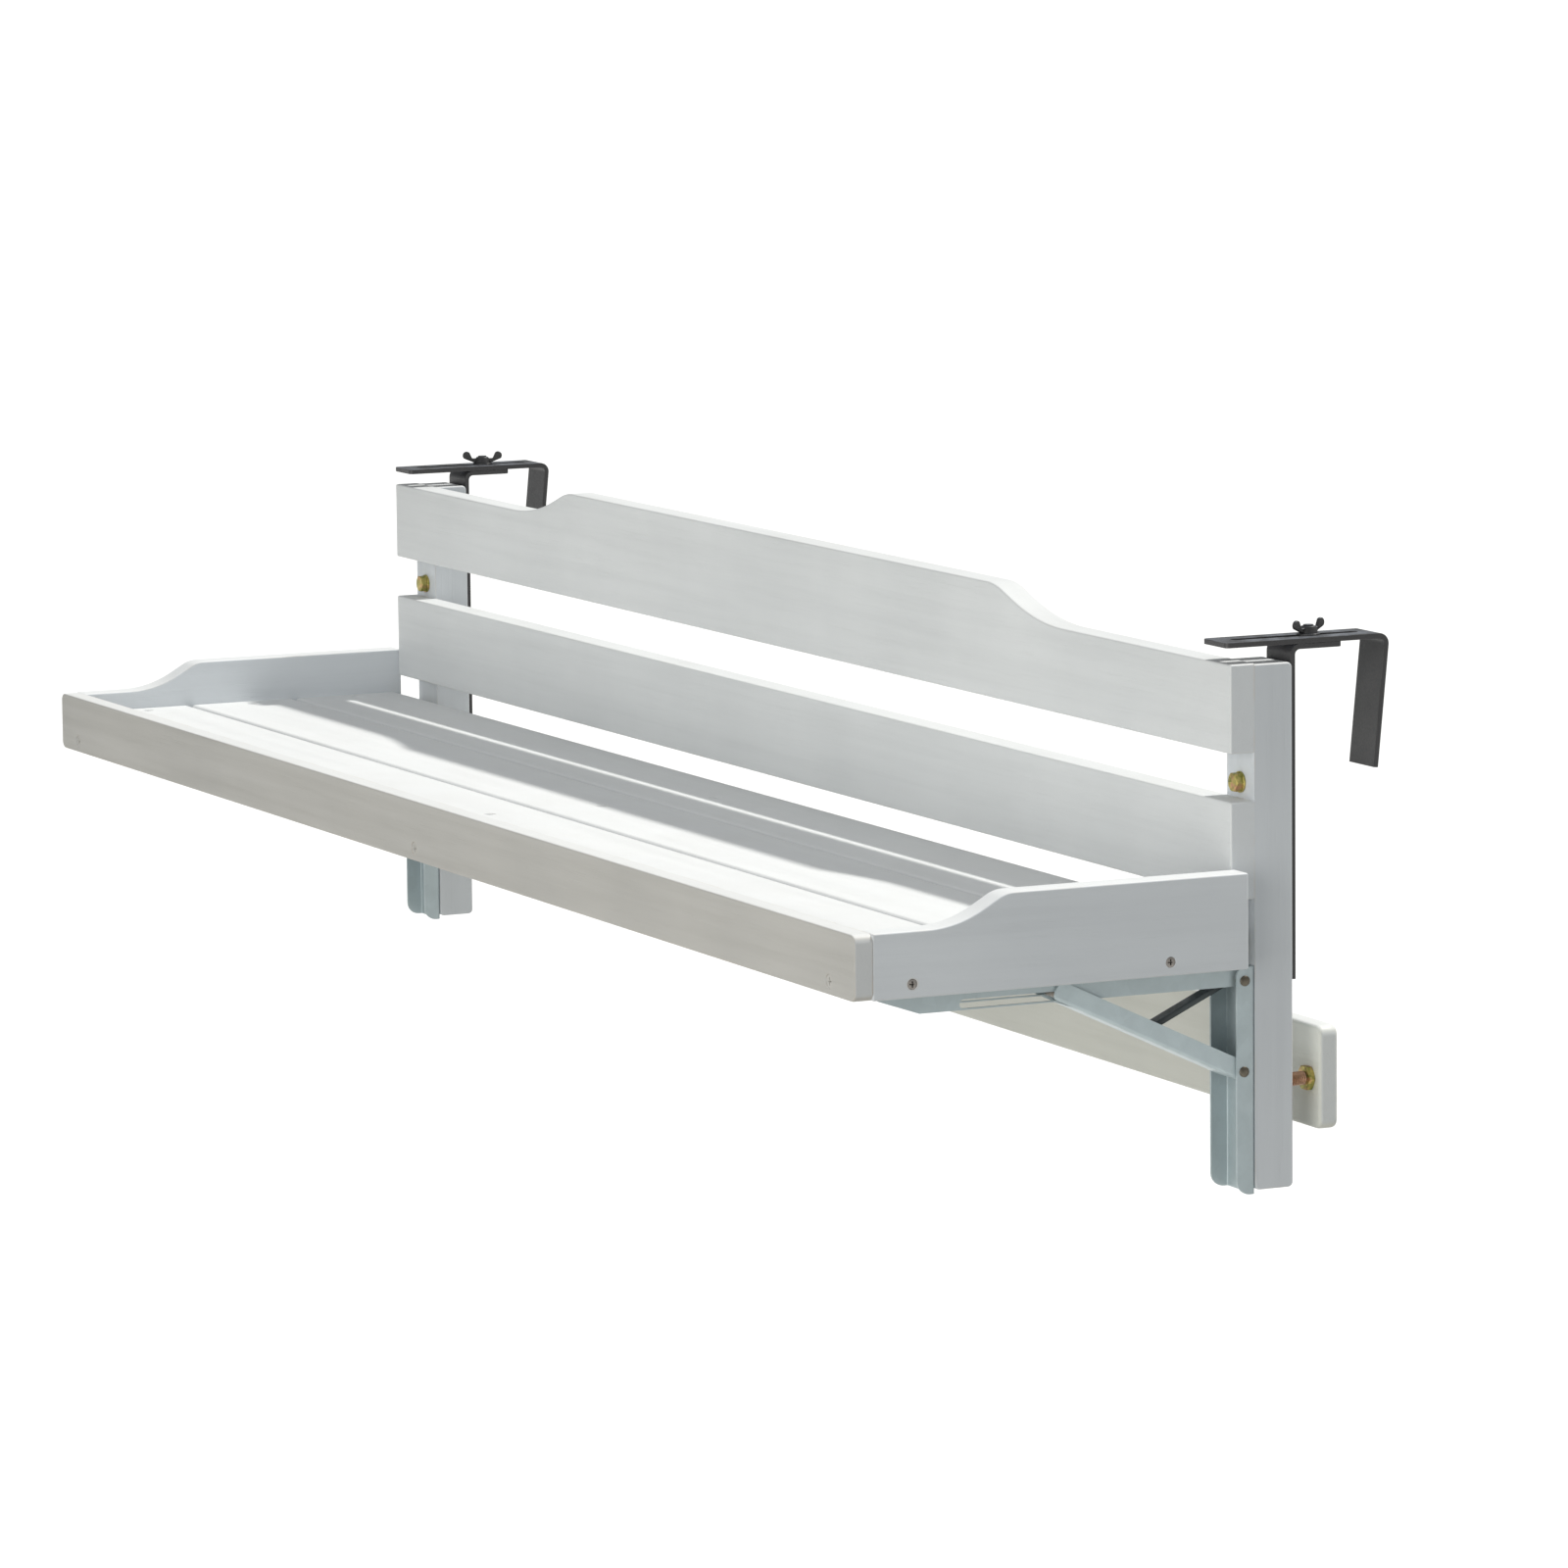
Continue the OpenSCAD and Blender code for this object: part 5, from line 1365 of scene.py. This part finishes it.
def make_straps():
    """Upright bars on the posts' backs, bent to the rear as seats."""
    metal = bpy.context.scene.bar_table_metal
    r = BEND_R
    centre = (STRAP_LO.y + r, STRAP_HI.z - r)
    outline = [(STRAP_LO.y, STRAP_LO.z)] + arc(centre, r, 180, 90)
    outline += [(STRAP_HI.y, STRAP_HI.z), (STRAP_HI.y, STRAP_HI.z - BAR_T)]
    outline += arc(centre, r - BAR_T, 90, 180) + [(STRAP_LO.y + BAR_T, STRAP_LO.z)]
    strap = prism("strap", outline, "X", STRAP_LO.x, STRAP_HI.x)
    above = BAR_T + OVERRUN
    carved(strap, *corner_waste("strap_corner", STRAP_LO.x, STRAP_HI.x, STRAP_HI.y, 1, -OVERRUN, above))
    eased(strap, metal.steel_ease, 2, STEEL_SHARP_ANGLE)
    depth = Y_BACK - Y_POST
    sink = CLAMP_HEAD_R - CLAMP_R
    cone = [(0, -OVERRUN), (CLAMP_HEAD_R, -OVERRUN), (CLAMP_HEAD_R, 0), (CLAMP_R, sink),
            (CLAMP_R, above), (0, above)]
    clamp_hole = turned("clamp_hole", cone)
    clamp_hole.data.transform(Matrix.Translation((X_POST, CLAMP_Y, 0)))
    through = (depth - OVERRUN, depth + BAR_T + OVERRUN)
    holes = bore_cutter("strap_bores", strap_bolt_places(), STRAP_BOLT_R + RUN_FIT, *through)
    carved(strap, holes, clamp_hole)
    dress_pair(strap, "hook_strap", coated_finish("hook_powder_coat", metal.hook))


def wing_blank():
    """One wing along +X, rising from the hub to a rounded tip."""
    tip = (WING_HALF - WING_TIP_R, WING_H - WING_TIP_R)
    root = CLAMP_R + WING_ROOT_OUT
    outline = [(root, WING_ROOT_UP), (HUB_R, WING_ROOT_UP)]
    outline += arc(tip, WING_TIP_R, -45, 135, WING_TIP_STEPS)
    outline += [((root + tip[0]) / 2, HUB_H * WING_SADDLE_SHARE), (root, HUB_H * WING_ROOT_SHARE)]
    return prism("wing", outline, "Y", -WING_T / 2, WING_T / 2)


def make_wing_nuts():
    """Wing nuts, their washers and the clamp bolts."""
    metal = bpy.context.scene.bar_table_metal
    coat = Vector(metal.hook) * CLAMP_COAT_SHADE
    finish = coated_finish("clamp_black_zinc", coat, wear=0.5, specular=0.6)
    ease = TURNED_EASE
    hub = turned("hub", [(0, 0), (HUB_R - ease, 0), (HUB_R, ease), (HUB_TOP_R, HUB_H - ease),
                         (HUB_TOP_R - ease, HUB_H), (0, HUB_H)])
    wings = repeated("wings", eased(wing_blank(), WING_EASE, angle=STEEL_SHARP_ANGLE),
                     [Matrix.Identity(4), Matrix.Rotation(math.pi, 4, "Z")])
    nut = combined(hub, wings, "UNION")
    carved(nut, nut_bore("nut_bore", CLAMP_R + RUN_FIT, HUB_H))
    turn = Matrix.Rotation(math.radians(WING_TURN), 4, "Z")
    nut.data.transform(Matrix.Translation((X_POST, CLAMP_Y, WING_Z)) @ turn)
    dress_pair(nut, "wing_nut", finish)
    at = Matrix.Translation((X_POST, CLAMP_Y, 0))
    washer = ring("clamp_washer", CLAMP_R, (CLAMP_HI.y - CLAMP_LO.y) / 2, CLAMP_LO.z, CLAMP_HI.z)
    dress(repeated("clamp_washers_all", washer, both_ends([at])), "clamp_washers", finish)
    sink = CLAMP_HEAD_R - CLAMP_R
    cone = [(0, 0), (CLAMP_HEAD_R, 0), (CLAMP_R, sink), (CLAMP_R, WING_Z), (0, WING_Z)]
    head = turned("clamp_head", cone)
    carved(head, cross_recess("clamp_recess", CLAMP_HEAD_R, CLAMP_RECESS))
    pitch = metal.thread_pitch * CLAMP_PITCH_SHARE
    shank = threaded("clamp_thread", CLAMP_R, CLAMP_THREAD_DEPTH, pitch, WING_Z, CLAMP_TOP)
    bolts = repeated("clamps", merged("clamp", [head, shank]), both_ends([at]))
    dress(bolts, "clamp_bolts", finish)


# Bolts and screws

def threaded(name, radius, depth, pitch, start, end, sides=THREAD_SIDES):
    """Helical thread along Z between two heights."""
    rows = max(2, int((end - start) / pitch * THREAD_ROWS))
    bm = bmesh.new()
    rings = []
    for n in range(rows + 1):
        height = start + (end - start) * n / rows
        fade = min(1, 2 * min(n, rows - n) / THREAD_ROWS)
        loop = []
        for m in range(sides):
            phase = ((height - start) / pitch - m / sides) % 1
            groove = abs(2 * phase - 1) * fade
            r = radius - depth * groove
            angle = 2 * math.pi * m / sides
            loop.append(bm.verts.new((r * math.cos(angle), r * math.sin(angle), height)))
        rings.append(loop)
    for low, high in zip(rings, rings[1:]):
        join_rings(bm, low, high, sides)
    bm.faces.new(rings[0])
    bm.faces.new(rings[-1])
    return linked(name, bm)


def hex_blank(name, flats, height, washer_face=True):
    """Hexagon along Z with chamfered corners, at its lower end only if that is no washer face."""
    across = flats / math.cos(math.radians(30))
    sixth = [(across / 2 * math.cos(math.radians(60 * n)), across / 2 * math.sin(math.radians(60 * n)))
             for n in range(6)]
    blank = prism(name, sixth, "Z", 0, height)
    drop = HEX_CHAMFER_H
    flat = flats / 2 * HEX_FACE_SHARE
    wide = across / 2 + HEX_CLEAR
    low = [(0, 0), (wide, 0)] if washer_face else [(0, 0), (flat, 0), (wide, drop)]
    high = [(wide, height - drop), (flat, height), (0, height)]
    envelope = turned(f"{name}_round", low + high, FINE_ROUND)
    return combined(blank, envelope, "INTERSECT")


def cross_recess(name, head_radius, depth):
    """Tapered cross cut into a screw head whose face is at Z = 0 and whose shank points up."""
    arm = head_radius * RECESS_ARM_SHARE
    width = head_radius * RECESS_WIDTH_SHARE
    plus = [(width, width), (width, arm), (-width, arm), (-width, width), (-arm, width), (-arm, -width),
            (-width, -width), (-width, -arm), (width, -arm), (width, -width), (arm, -width), (arm, width)]
    bm = bmesh.new()
    rings = []
    for share, height in ((RECESS_MOUTH_SHARE, -SHORT_OVERRUN), (1, 0), (RECESS_FLOOR_SHARE, depth)):
        rings.append([bm.verts.new((x * share, y * share, height)) for x, y in plus])
    for low, high in zip(rings, rings[1:]):
        join_rings(bm, low, high, len(plus))
    bm.faces.new(rings[0])
    bm.faces.new(rings[-1])
    return linked(name, bm)


def wood_screw(length, share=1.0):
    """Countersunk screw with a cross recess, its face just below Z = 0 and its point up."""
    shank = SCREW_R * share
    head = SCREW_HEAD_R * share
    sunk = SCREW_SUNK
    profile = [(0, sunk), (head - SCREW_EDGE_IN, sunk), (head - SCREW_RIM_IN, sunk + SCREW_RIM_H),
               (shank, sunk + head - shank), (shank, length - 2 * shank), (shank / 4, length),
               (0, length)]
    screw = turned("screw", profile)
    recess = cross_recess("recess", head, SCREW_RECESS * share)
    recess.data.transform(Matrix.Translation((0, 0, sunk)))
    return carved(screw, recess)


def pan_screw(length):
    """Screw with a domed pan head below Z = 0 and its point up."""
    crown = [(r, h) for r, h in domed_head(SCREW_HEAD_R, PAN_H, -1)][::-1]
    profile = crown + [(SCREW_HEAD_R, 0), (SCREW_R, 0), (SCREW_R, length - 2 * SCREW_R), (0, length)]
    screw = turned("pan_screw", profile)
    recess = cross_recess("pan_recess", SCREW_HEAD_R * RECESS_HEAD_SHARE, PAN_RECESS)
    recess.data.transform(Matrix.Translation((0, 0, -PAN_H)))
    return carved(screw, recess)


def make_screws():
    """Wood screws of boards, rim, slats and wall channels, and the arms' pan screws."""
    metal = bpy.context.scene.bar_table_metal
    finish = zinc_finish("screw_dull_zinc", metal.screw, metallic=0.85, wear=0.15, patch_scale=300.0,
                         contrast=0.8)
    on_lip = painted_finish("lip_screw_paint", bpy.context.scene.bar_table_timber.rim_stain_and_shade)
    on_slats = painted_finish("slat_screw_paint", bpy.context.scene.bar_table_timber.slat_stain)
    sets = (
        ("board_screws", BOARD_SCREW_LEN, 1, both_ends(board_screw_places()), finish),
        ("lip_screws", LIP_SCREW_LEN, 1, lip_screw_places(), on_lip),
        ("cheek_screws", CHEEK_SCREW_LEN, CHEEK_SCREW_SHARE, both_ends(cheek_screw_places()), finish),
        ("slat_screws", SLAT_SCREW_LEN, 1, slat_screw_places(), on_slats),
    )
    for node, length, share, places, look in sets:
        dress(repeated(node + "_all", wood_screw(length, share), places), node, look)
    large = repeated("wall_large", wood_screw(WALL_SCREW_LEN), both_ends(wall_screw_places()))
    small_screw = wood_screw(WALL_SCREW_LEN, SMALL_SCREW_SHARE)
    small = repeated("wall_small", small_screw, both_ends(wall_small_places()))
    dress(merged("wall_all", [large, small]), "wall_screws", finish)
    arms = repeated("arm_all", pan_screw(ARM_SCREW_LEN - SCREW_R), both_ends(arm_screw_places()))
    dress(arms, "arm_screws", finish)


def make_bolts():
    """Strap bolts with washers and nuts, post inserts, and the stop board's bolts and lock nuts."""
    yellow = yellow_zinc_finish()
    depth = Y_BACK - Y_POST
    bolts = both_ends(strap_bolt_places())
    shank_end = depth + BAR_T
    r = STRAP_BOLT_R
    shank = turned("shank", [(0, -WASHER_T), (r, -WASHER_T), (r, shank_end), (0, shank_end)])
    head = hex_blank("hex_head", STRAP_FLATS, HEX_HEAD_H)
    head.data.transform(Matrix.Translation((0, 0, -WASHER_T)) @ Matrix.Rotation(math.pi, 4, "X"))
    dress(repeated("strap_bolts_all", merged("bolt", [shank, head]), bolts), "strap_bolts", yellow)
    washer = ring("washer", r + RUN_FIT, WASHER_R, -WASHER_T, 0, WASHER_EASE)
    dress(repeated("washers_all", washer, bolts), "strap_washers", yellow)
    nut = hex_blank("nut", STRAP_FLATS, HEX_NUT_H, washer_face=False)
    carved(nut, nut_bore("nut_hole", r + RUN_FIT, HEX_NUT_H))
    nut.data.transform(Matrix.Translation((0, 0, depth - HEX_NUT_H)))
    dress(repeated("nuts_all", nut, bolts), "strap_nuts", yellow)
    make_stop_bolts(yellow)


def make_stop_bolts(yellow):
    """Inserts in the posts, and the stop board's adjusting bolts and lock nuts."""
    metal = bpy.context.scene.bar_table_metal
    stop_bolts = both_ends([adjust_place()])
    bore = BOLT_R + RUN_FIT
    profile = [(bore, -INSERT_LEN), (INSERT_R, -INSERT_LEN), (INSERT_R, -INSERT_COLLAR_T),
               (INSERT_COLLAR_R, -INSERT_COLLAR_T), (INSERT_COLLAR_R, 0), (bore, 0)]
    inserts = repeated("inserts_all", turned("insert", profile, closed=True), stop_bolts)
    dress(inserts, "post_inserts", yellow)
    back = STOP_HI.y - Y_BACK
    sink = ADJUST_HEAD_R - BOLT_R
    rod = threaded("rod", BOLT_R, BOLT_THREAD_DEPTH, metal.thread_pitch, -ADJUST_IN, back - sink)
    cone = turned("cone", [(0, back - sink), (BOLT_R, back - sink), (ADJUST_HEAD_R, back), (0, back)])
    recess = cross_recess("cone_recess", ADJUST_HEAD_R * RECESS_HEAD_SHARE, ADJUST_RECESS)
    recess.data.transform(Matrix.Translation((0, 0, back)) @ Matrix.Rotation(math.pi, 4, "X"))
    carved(cone, recess)
    copper = zinc_finish("adjusting_bolt_copper", COPPER, metallic=0.9, patch_scale=260.0)
    dress(repeated("adjust_all", merged("adjust", [rod, cone]), stop_bolts), "adjust_bolts", copper)
    nut = hex_blank("lock_nut", LOCK_FLATS, LOCK_NUT_H, washer_face=False)
    carved(nut, nut_bore("lock_hole", BOLT_R, LOCK_NUT_H))
    nut.data.transform(Matrix.Translation((0, 0, STOP_GAP - LOCK_NUT_H)))
    dress(repeated("lock_nuts_all", nut, stop_bolts), "adjust_nuts", yellow)


# Stage

def white_behind(tree, plain, seen):
    """Colour that camera and gloss see, in place of the one that lights the table."""
    path = shader_node(tree, "ShaderNodeLightPath").outputs
    either = math_node(tree, "MAXIMUM", path["Is Camera Ray"], path["Is Glossy Ray"])
    return mixed(tree, either, plain, seen)


def make_floor(stage):
    """Pale floor far below the table."""
    half = stage.floor_half
    floor = bpy.data.meshes.new("floor")
    corners = [(-half, -half), (half, -half), (half, half), (-half, half)]
    floor.from_pydata([(x, y, -stage.floor_drop) for x, y in corners], [], [(0, 1, 2, 3)])
    piece = bpy.data.objects.new("studio_floor", floor)
    bpy.context.scene.collection.objects.link(piece)
    material, tree, shader, coordinates = blank_material("floor_paper")
    cloud = noise(tree, coordinates, scale=0.4, detail=2, roughness=0.5)
    bounce = mixed(tree, ranged(tree, cloud, 0.3, 0.7), FLOOR_DARK, FLOOR_PALE)
    tree.links.new(white_behind(tree, bounce, WHITE), shader.inputs["Base Color"])
    shader.inputs["Roughness"].default_value = 0.9
    shader.inputs["Specular IOR Level"].default_value = 0
    floor.materials.append(material)


def make_world(stage):
    """Even light from all around, white where the camera sees it."""
    world = bpy.data.worlds.new("studio_sky")
    bpy.context.scene.world = world
    world.use_nodes = True
    tree = world.node_tree
    background = tree.nodes["Background"]
    path = shader_node(tree, "ShaderNodeLightPath").outputs
    strength = ranged(tree, path["Is Camera Ray"], 0, 1, to_low=stage.sky)
    seen = mixed(tree, path["Is Camera Ray"], opaque(stage.sky_tint), WHITE)
    tree.links.new(seen, background.inputs["Color"])
    tree.links.new(strength, background.inputs["Strength"])


def make_lamp(name, kind, energy, colour):
    """Lamp object of a kind, with its energy and colour."""
    lamp = bpy.data.lights.new(name, kind)
    lamp.energy = energy
    lamp.color = colour
    light = bpy.data.objects.new(name, lamp)
    bpy.context.scene.collection.objects.link(light)
    return light


def make_key_light(stage):
    """Key light from behind and above, with a crisp shadow."""
    light = make_lamp("key_light", "SUN", stage.sun, KEY_TINT)
    light.data.angle = stage.sun_spread
    light.rotation_euler = Vector(stage.sun_from).to_track_quat("Z", "Y").to_euler()


def make_front_panel(stage):
    """Large soft panel of light in front, out of the camera's sight."""
    light = make_lamp("front_panel", "AREA", stage.panel, PANEL_TINT)
    light.data.size = stage.panel_size
    light.location = stage.panel_at
    light.rotation_euler = Vector(stage.panel_at).to_track_quat("Z", "Y").to_euler()
    light.visible_camera = False


def make_camera(stage):
    """Camera at the photograph's angle."""
    a, e, r = stage.azimuth, stage.elevation, stage.roll
    forward = Vector((-math.sin(a) * math.cos(e), math.cos(a) * math.cos(e), -math.sin(e)))
    level = Vector((math.cos(a), math.sin(a), 0))
    upright = level.cross(forward)
    right = level * math.cos(r) + upright * math.sin(r)
    up = upright * math.cos(r) - level * math.sin(r)
    lens = bpy.data.cameras.new("camera")
    lens.lens = stage.lens
    lens.sensor_width = SENSOR_WIDTH
    lens.clip_end = 4 * stage.floor_half
    camera = bpy.data.objects.new("camera", lens)
    turn = Matrix((right, up, -forward)).transposed().to_4x4()
    camera.matrix_world = Matrix.Translation(stage.camera_at) @ turn
    bpy.context.scene.collection.objects.link(camera)
    bpy.context.scene.camera = camera


def make_stage():
    """Floor, light, camera and plain colour handling."""
    stage = bpy.context.scene.bar_table_stage
    make_floor(stage)
    make_world(stage)
    make_key_light(stage)
    make_front_panel(stage)
    make_camera(stage)
    bpy.context.scene.view_settings.view_transform = "Standard"


class BARTABLE_OT_boards(bpy.types.Operator):
    """Build the top board and the lower board"""

    bl_idname = "bartable.boards"
    bl_label = "Boards"

    def execute(self, context):
        make_boards()
        return {"FINISHED"}


class BARTABLE_OT_posts(bpy.types.Operator):
    """Build the two posts"""

    bl_idname = "bartable.posts"
    bl_label = "Posts"

    def execute(self, context):
        make_posts()
        return {"FINISHED"}


class BARTABLE_OT_rim(bpy.types.Operator):
    """Build the front lip and the cheeks"""

    bl_idname = "bartable.rim"
    bl_label = "Lip and cheeks"

    def execute(self, context):
        make_rim()
        return {"FINISHED"}


class BARTABLE_OT_slats(bpy.types.Operator):
    """Build the three slats"""

    bl_idname = "bartable.slats"
    bl_label = "Slats"

    def execute(self, context):
        make_slats()
        return {"FINISHED"}


class BARTABLE_OT_battens(bpy.types.Operator):
    """Build the three battens"""

    bl_idname = "bartable.battens"
    bl_label = "Battens"

    def execute(self, context):
        make_battens()
        return {"FINISHED"}


class BARTABLE_OT_stop_board(bpy.types.Operator):
    """Build the stop board"""

    bl_idname = "bartable.stop_board"
    bl_label = "Stop board"

    def execute(self, context):
        make_stop_board()
        return {"FINISHED"}


class BARTABLE_OT_wall_channels(bpy.types.Operator):
    """Build the wall channels"""

    bl_idname = "bartable.wall_channels"
    bl_label = "Wall channels"

    def execute(self, context):
        make_wall_channels()
        return {"FINISHED"}


class BARTABLE_OT_arm_channels(bpy.types.Operator):
    """Build the arm channels"""

    bl_idname = "bartable.arm_channels"
    bl_label = "Arm channels"

    def execute(self, context):
        make_arm_channels()
        return {"FINISHED"}


class BARTABLE_OT_braces(bpy.types.Operator):
    """Build the braces"""

    bl_idname = "bartable.braces"
    bl_label = "Braces"

    def execute(self, context):
        make_braces()
        return {"FINISHED"}


class BARTABLE_OT_stays(bpy.types.Operator):
    """Build the stays"""

    bl_idname = "bartable.stays"
    bl_label = "Stays"

    def execute(self, context):
        make_stays()
        return {"FINISHED"}


class BARTABLE_OT_pins(bpy.types.Operator):
    """Build the hinge pins, spacers, rivets and slide pins"""

    bl_idname = "bartable.pins"
    bl_label = "Pins and rivets"

    def execute(self, context):
        make_pins()
        return {"FINISHED"}


class BARTABLE_OT_hooks(bpy.types.Operator):
    """Build the hooks"""

    bl_idname = "bartable.hooks"
    bl_label = "Hooks"

    def execute(self, context):
        make_hooks()
        return {"FINISHED"}


class BARTABLE_OT_straps(bpy.types.Operator):
    """Build the straps"""

    bl_idname = "bartable.straps"
    bl_label = "Straps"

    def execute(self, context):
        make_straps()
        return {"FINISHED"}


class BARTABLE_OT_wing_nuts(bpy.types.Operator):
    """Build the wing nuts, clamp washers and clamp bolts"""

    bl_idname = "bartable.wing_nuts"
    bl_label = "Wing nuts"

    def execute(self, context):
        make_wing_nuts()
        return {"FINISHED"}


class BARTABLE_OT_bolts(bpy.types.Operator):
    """Build the strap bolts, the stop board's bolts, their nuts and the post inserts"""

    bl_idname = "bartable.bolts"
    bl_label = "Bolts"

    def execute(self, context):
        make_bolts()
        return {"FINISHED"}


class BARTABLE_OT_screws(bpy.types.Operator):
    """Build the wood screws and the arms' pan screws"""

    bl_idname = "bartable.screws"
    bl_label = "Screws"

    def execute(self, context):
        make_screws()
        return {"FINISHED"}


class BARTABLE_OT_stage(bpy.types.Operator):
    """Set up the floor, light and camera"""

    bl_idname = "bartable.stage"
    bl_label = "Stage"

    def execute(self, context):
        make_stage()
        return {"FINISHED"}


OPERATORS = (
    BARTABLE_OT_stage, BARTABLE_OT_boards, BARTABLE_OT_posts, BARTABLE_OT_rim, BARTABLE_OT_slats,
    BARTABLE_OT_battens, BARTABLE_OT_stop_board, BARTABLE_OT_wall_channels, BARTABLE_OT_arm_channels,
    BARTABLE_OT_braces, BARTABLE_OT_stays, BARTABLE_OT_pins, BARTABLE_OT_hooks, BARTABLE_OT_straps,
    BARTABLE_OT_wing_nuts, BARTABLE_OT_bolts, BARTABLE_OT_screws,
)
SETTINGS = (
    ("bar_table_timber", TimberSettings),
    ("bar_table_metal", MetalSettings),
    ("bar_table_stage", StageSettings),
)


class BARTABLE_PT_panel(bpy.types.Panel):
    """Sizes, colours and build steps of the bar table"""

    bl_idname = "BARTABLE_PT_panel"
    bl_label = "Bar table"
    bl_space_type = "VIEW_3D"
    bl_region_type = "UI"
    bl_category = "Bar table"

    def draw(self, context):
        for name, group in SETTINGS:
            box = self.layout.box()
            for field in group.__annotations__:
                box.prop(getattr(context.scene, name), field)
        for operator in OPERATORS:
            self.layout.operator(operator.bl_idname)


def register():
    """Registers the settings, operators and panel."""
    for name, group in SETTINGS:
        bpy.utils.register_class(group)
        setattr(bpy.types.Scene, name, PointerProperty(type=group))
    for operator in OPERATORS:
        bpy.utils.register_class(operator)
    bpy.utils.register_class(BARTABLE_PT_panel)


def unregister():
    """Removes the panel, operators and settings."""
    bpy.utils.unregister_class(BARTABLE_PT_panel)
    for operator in reversed(OPERATORS):
        bpy.utils.unregister_class(operator)
    for name, group in reversed(SETTINGS):
        delattr(bpy.types.Scene, name)
        bpy.utils.unregister_class(group)


def main():
    """Builds everything in order."""
    register()
    for operator in OPERATORS:
        getattr(bpy.ops.bartable, operator.bl_idname.split(".")[1])()


if __name__ == "__main__":
    main()
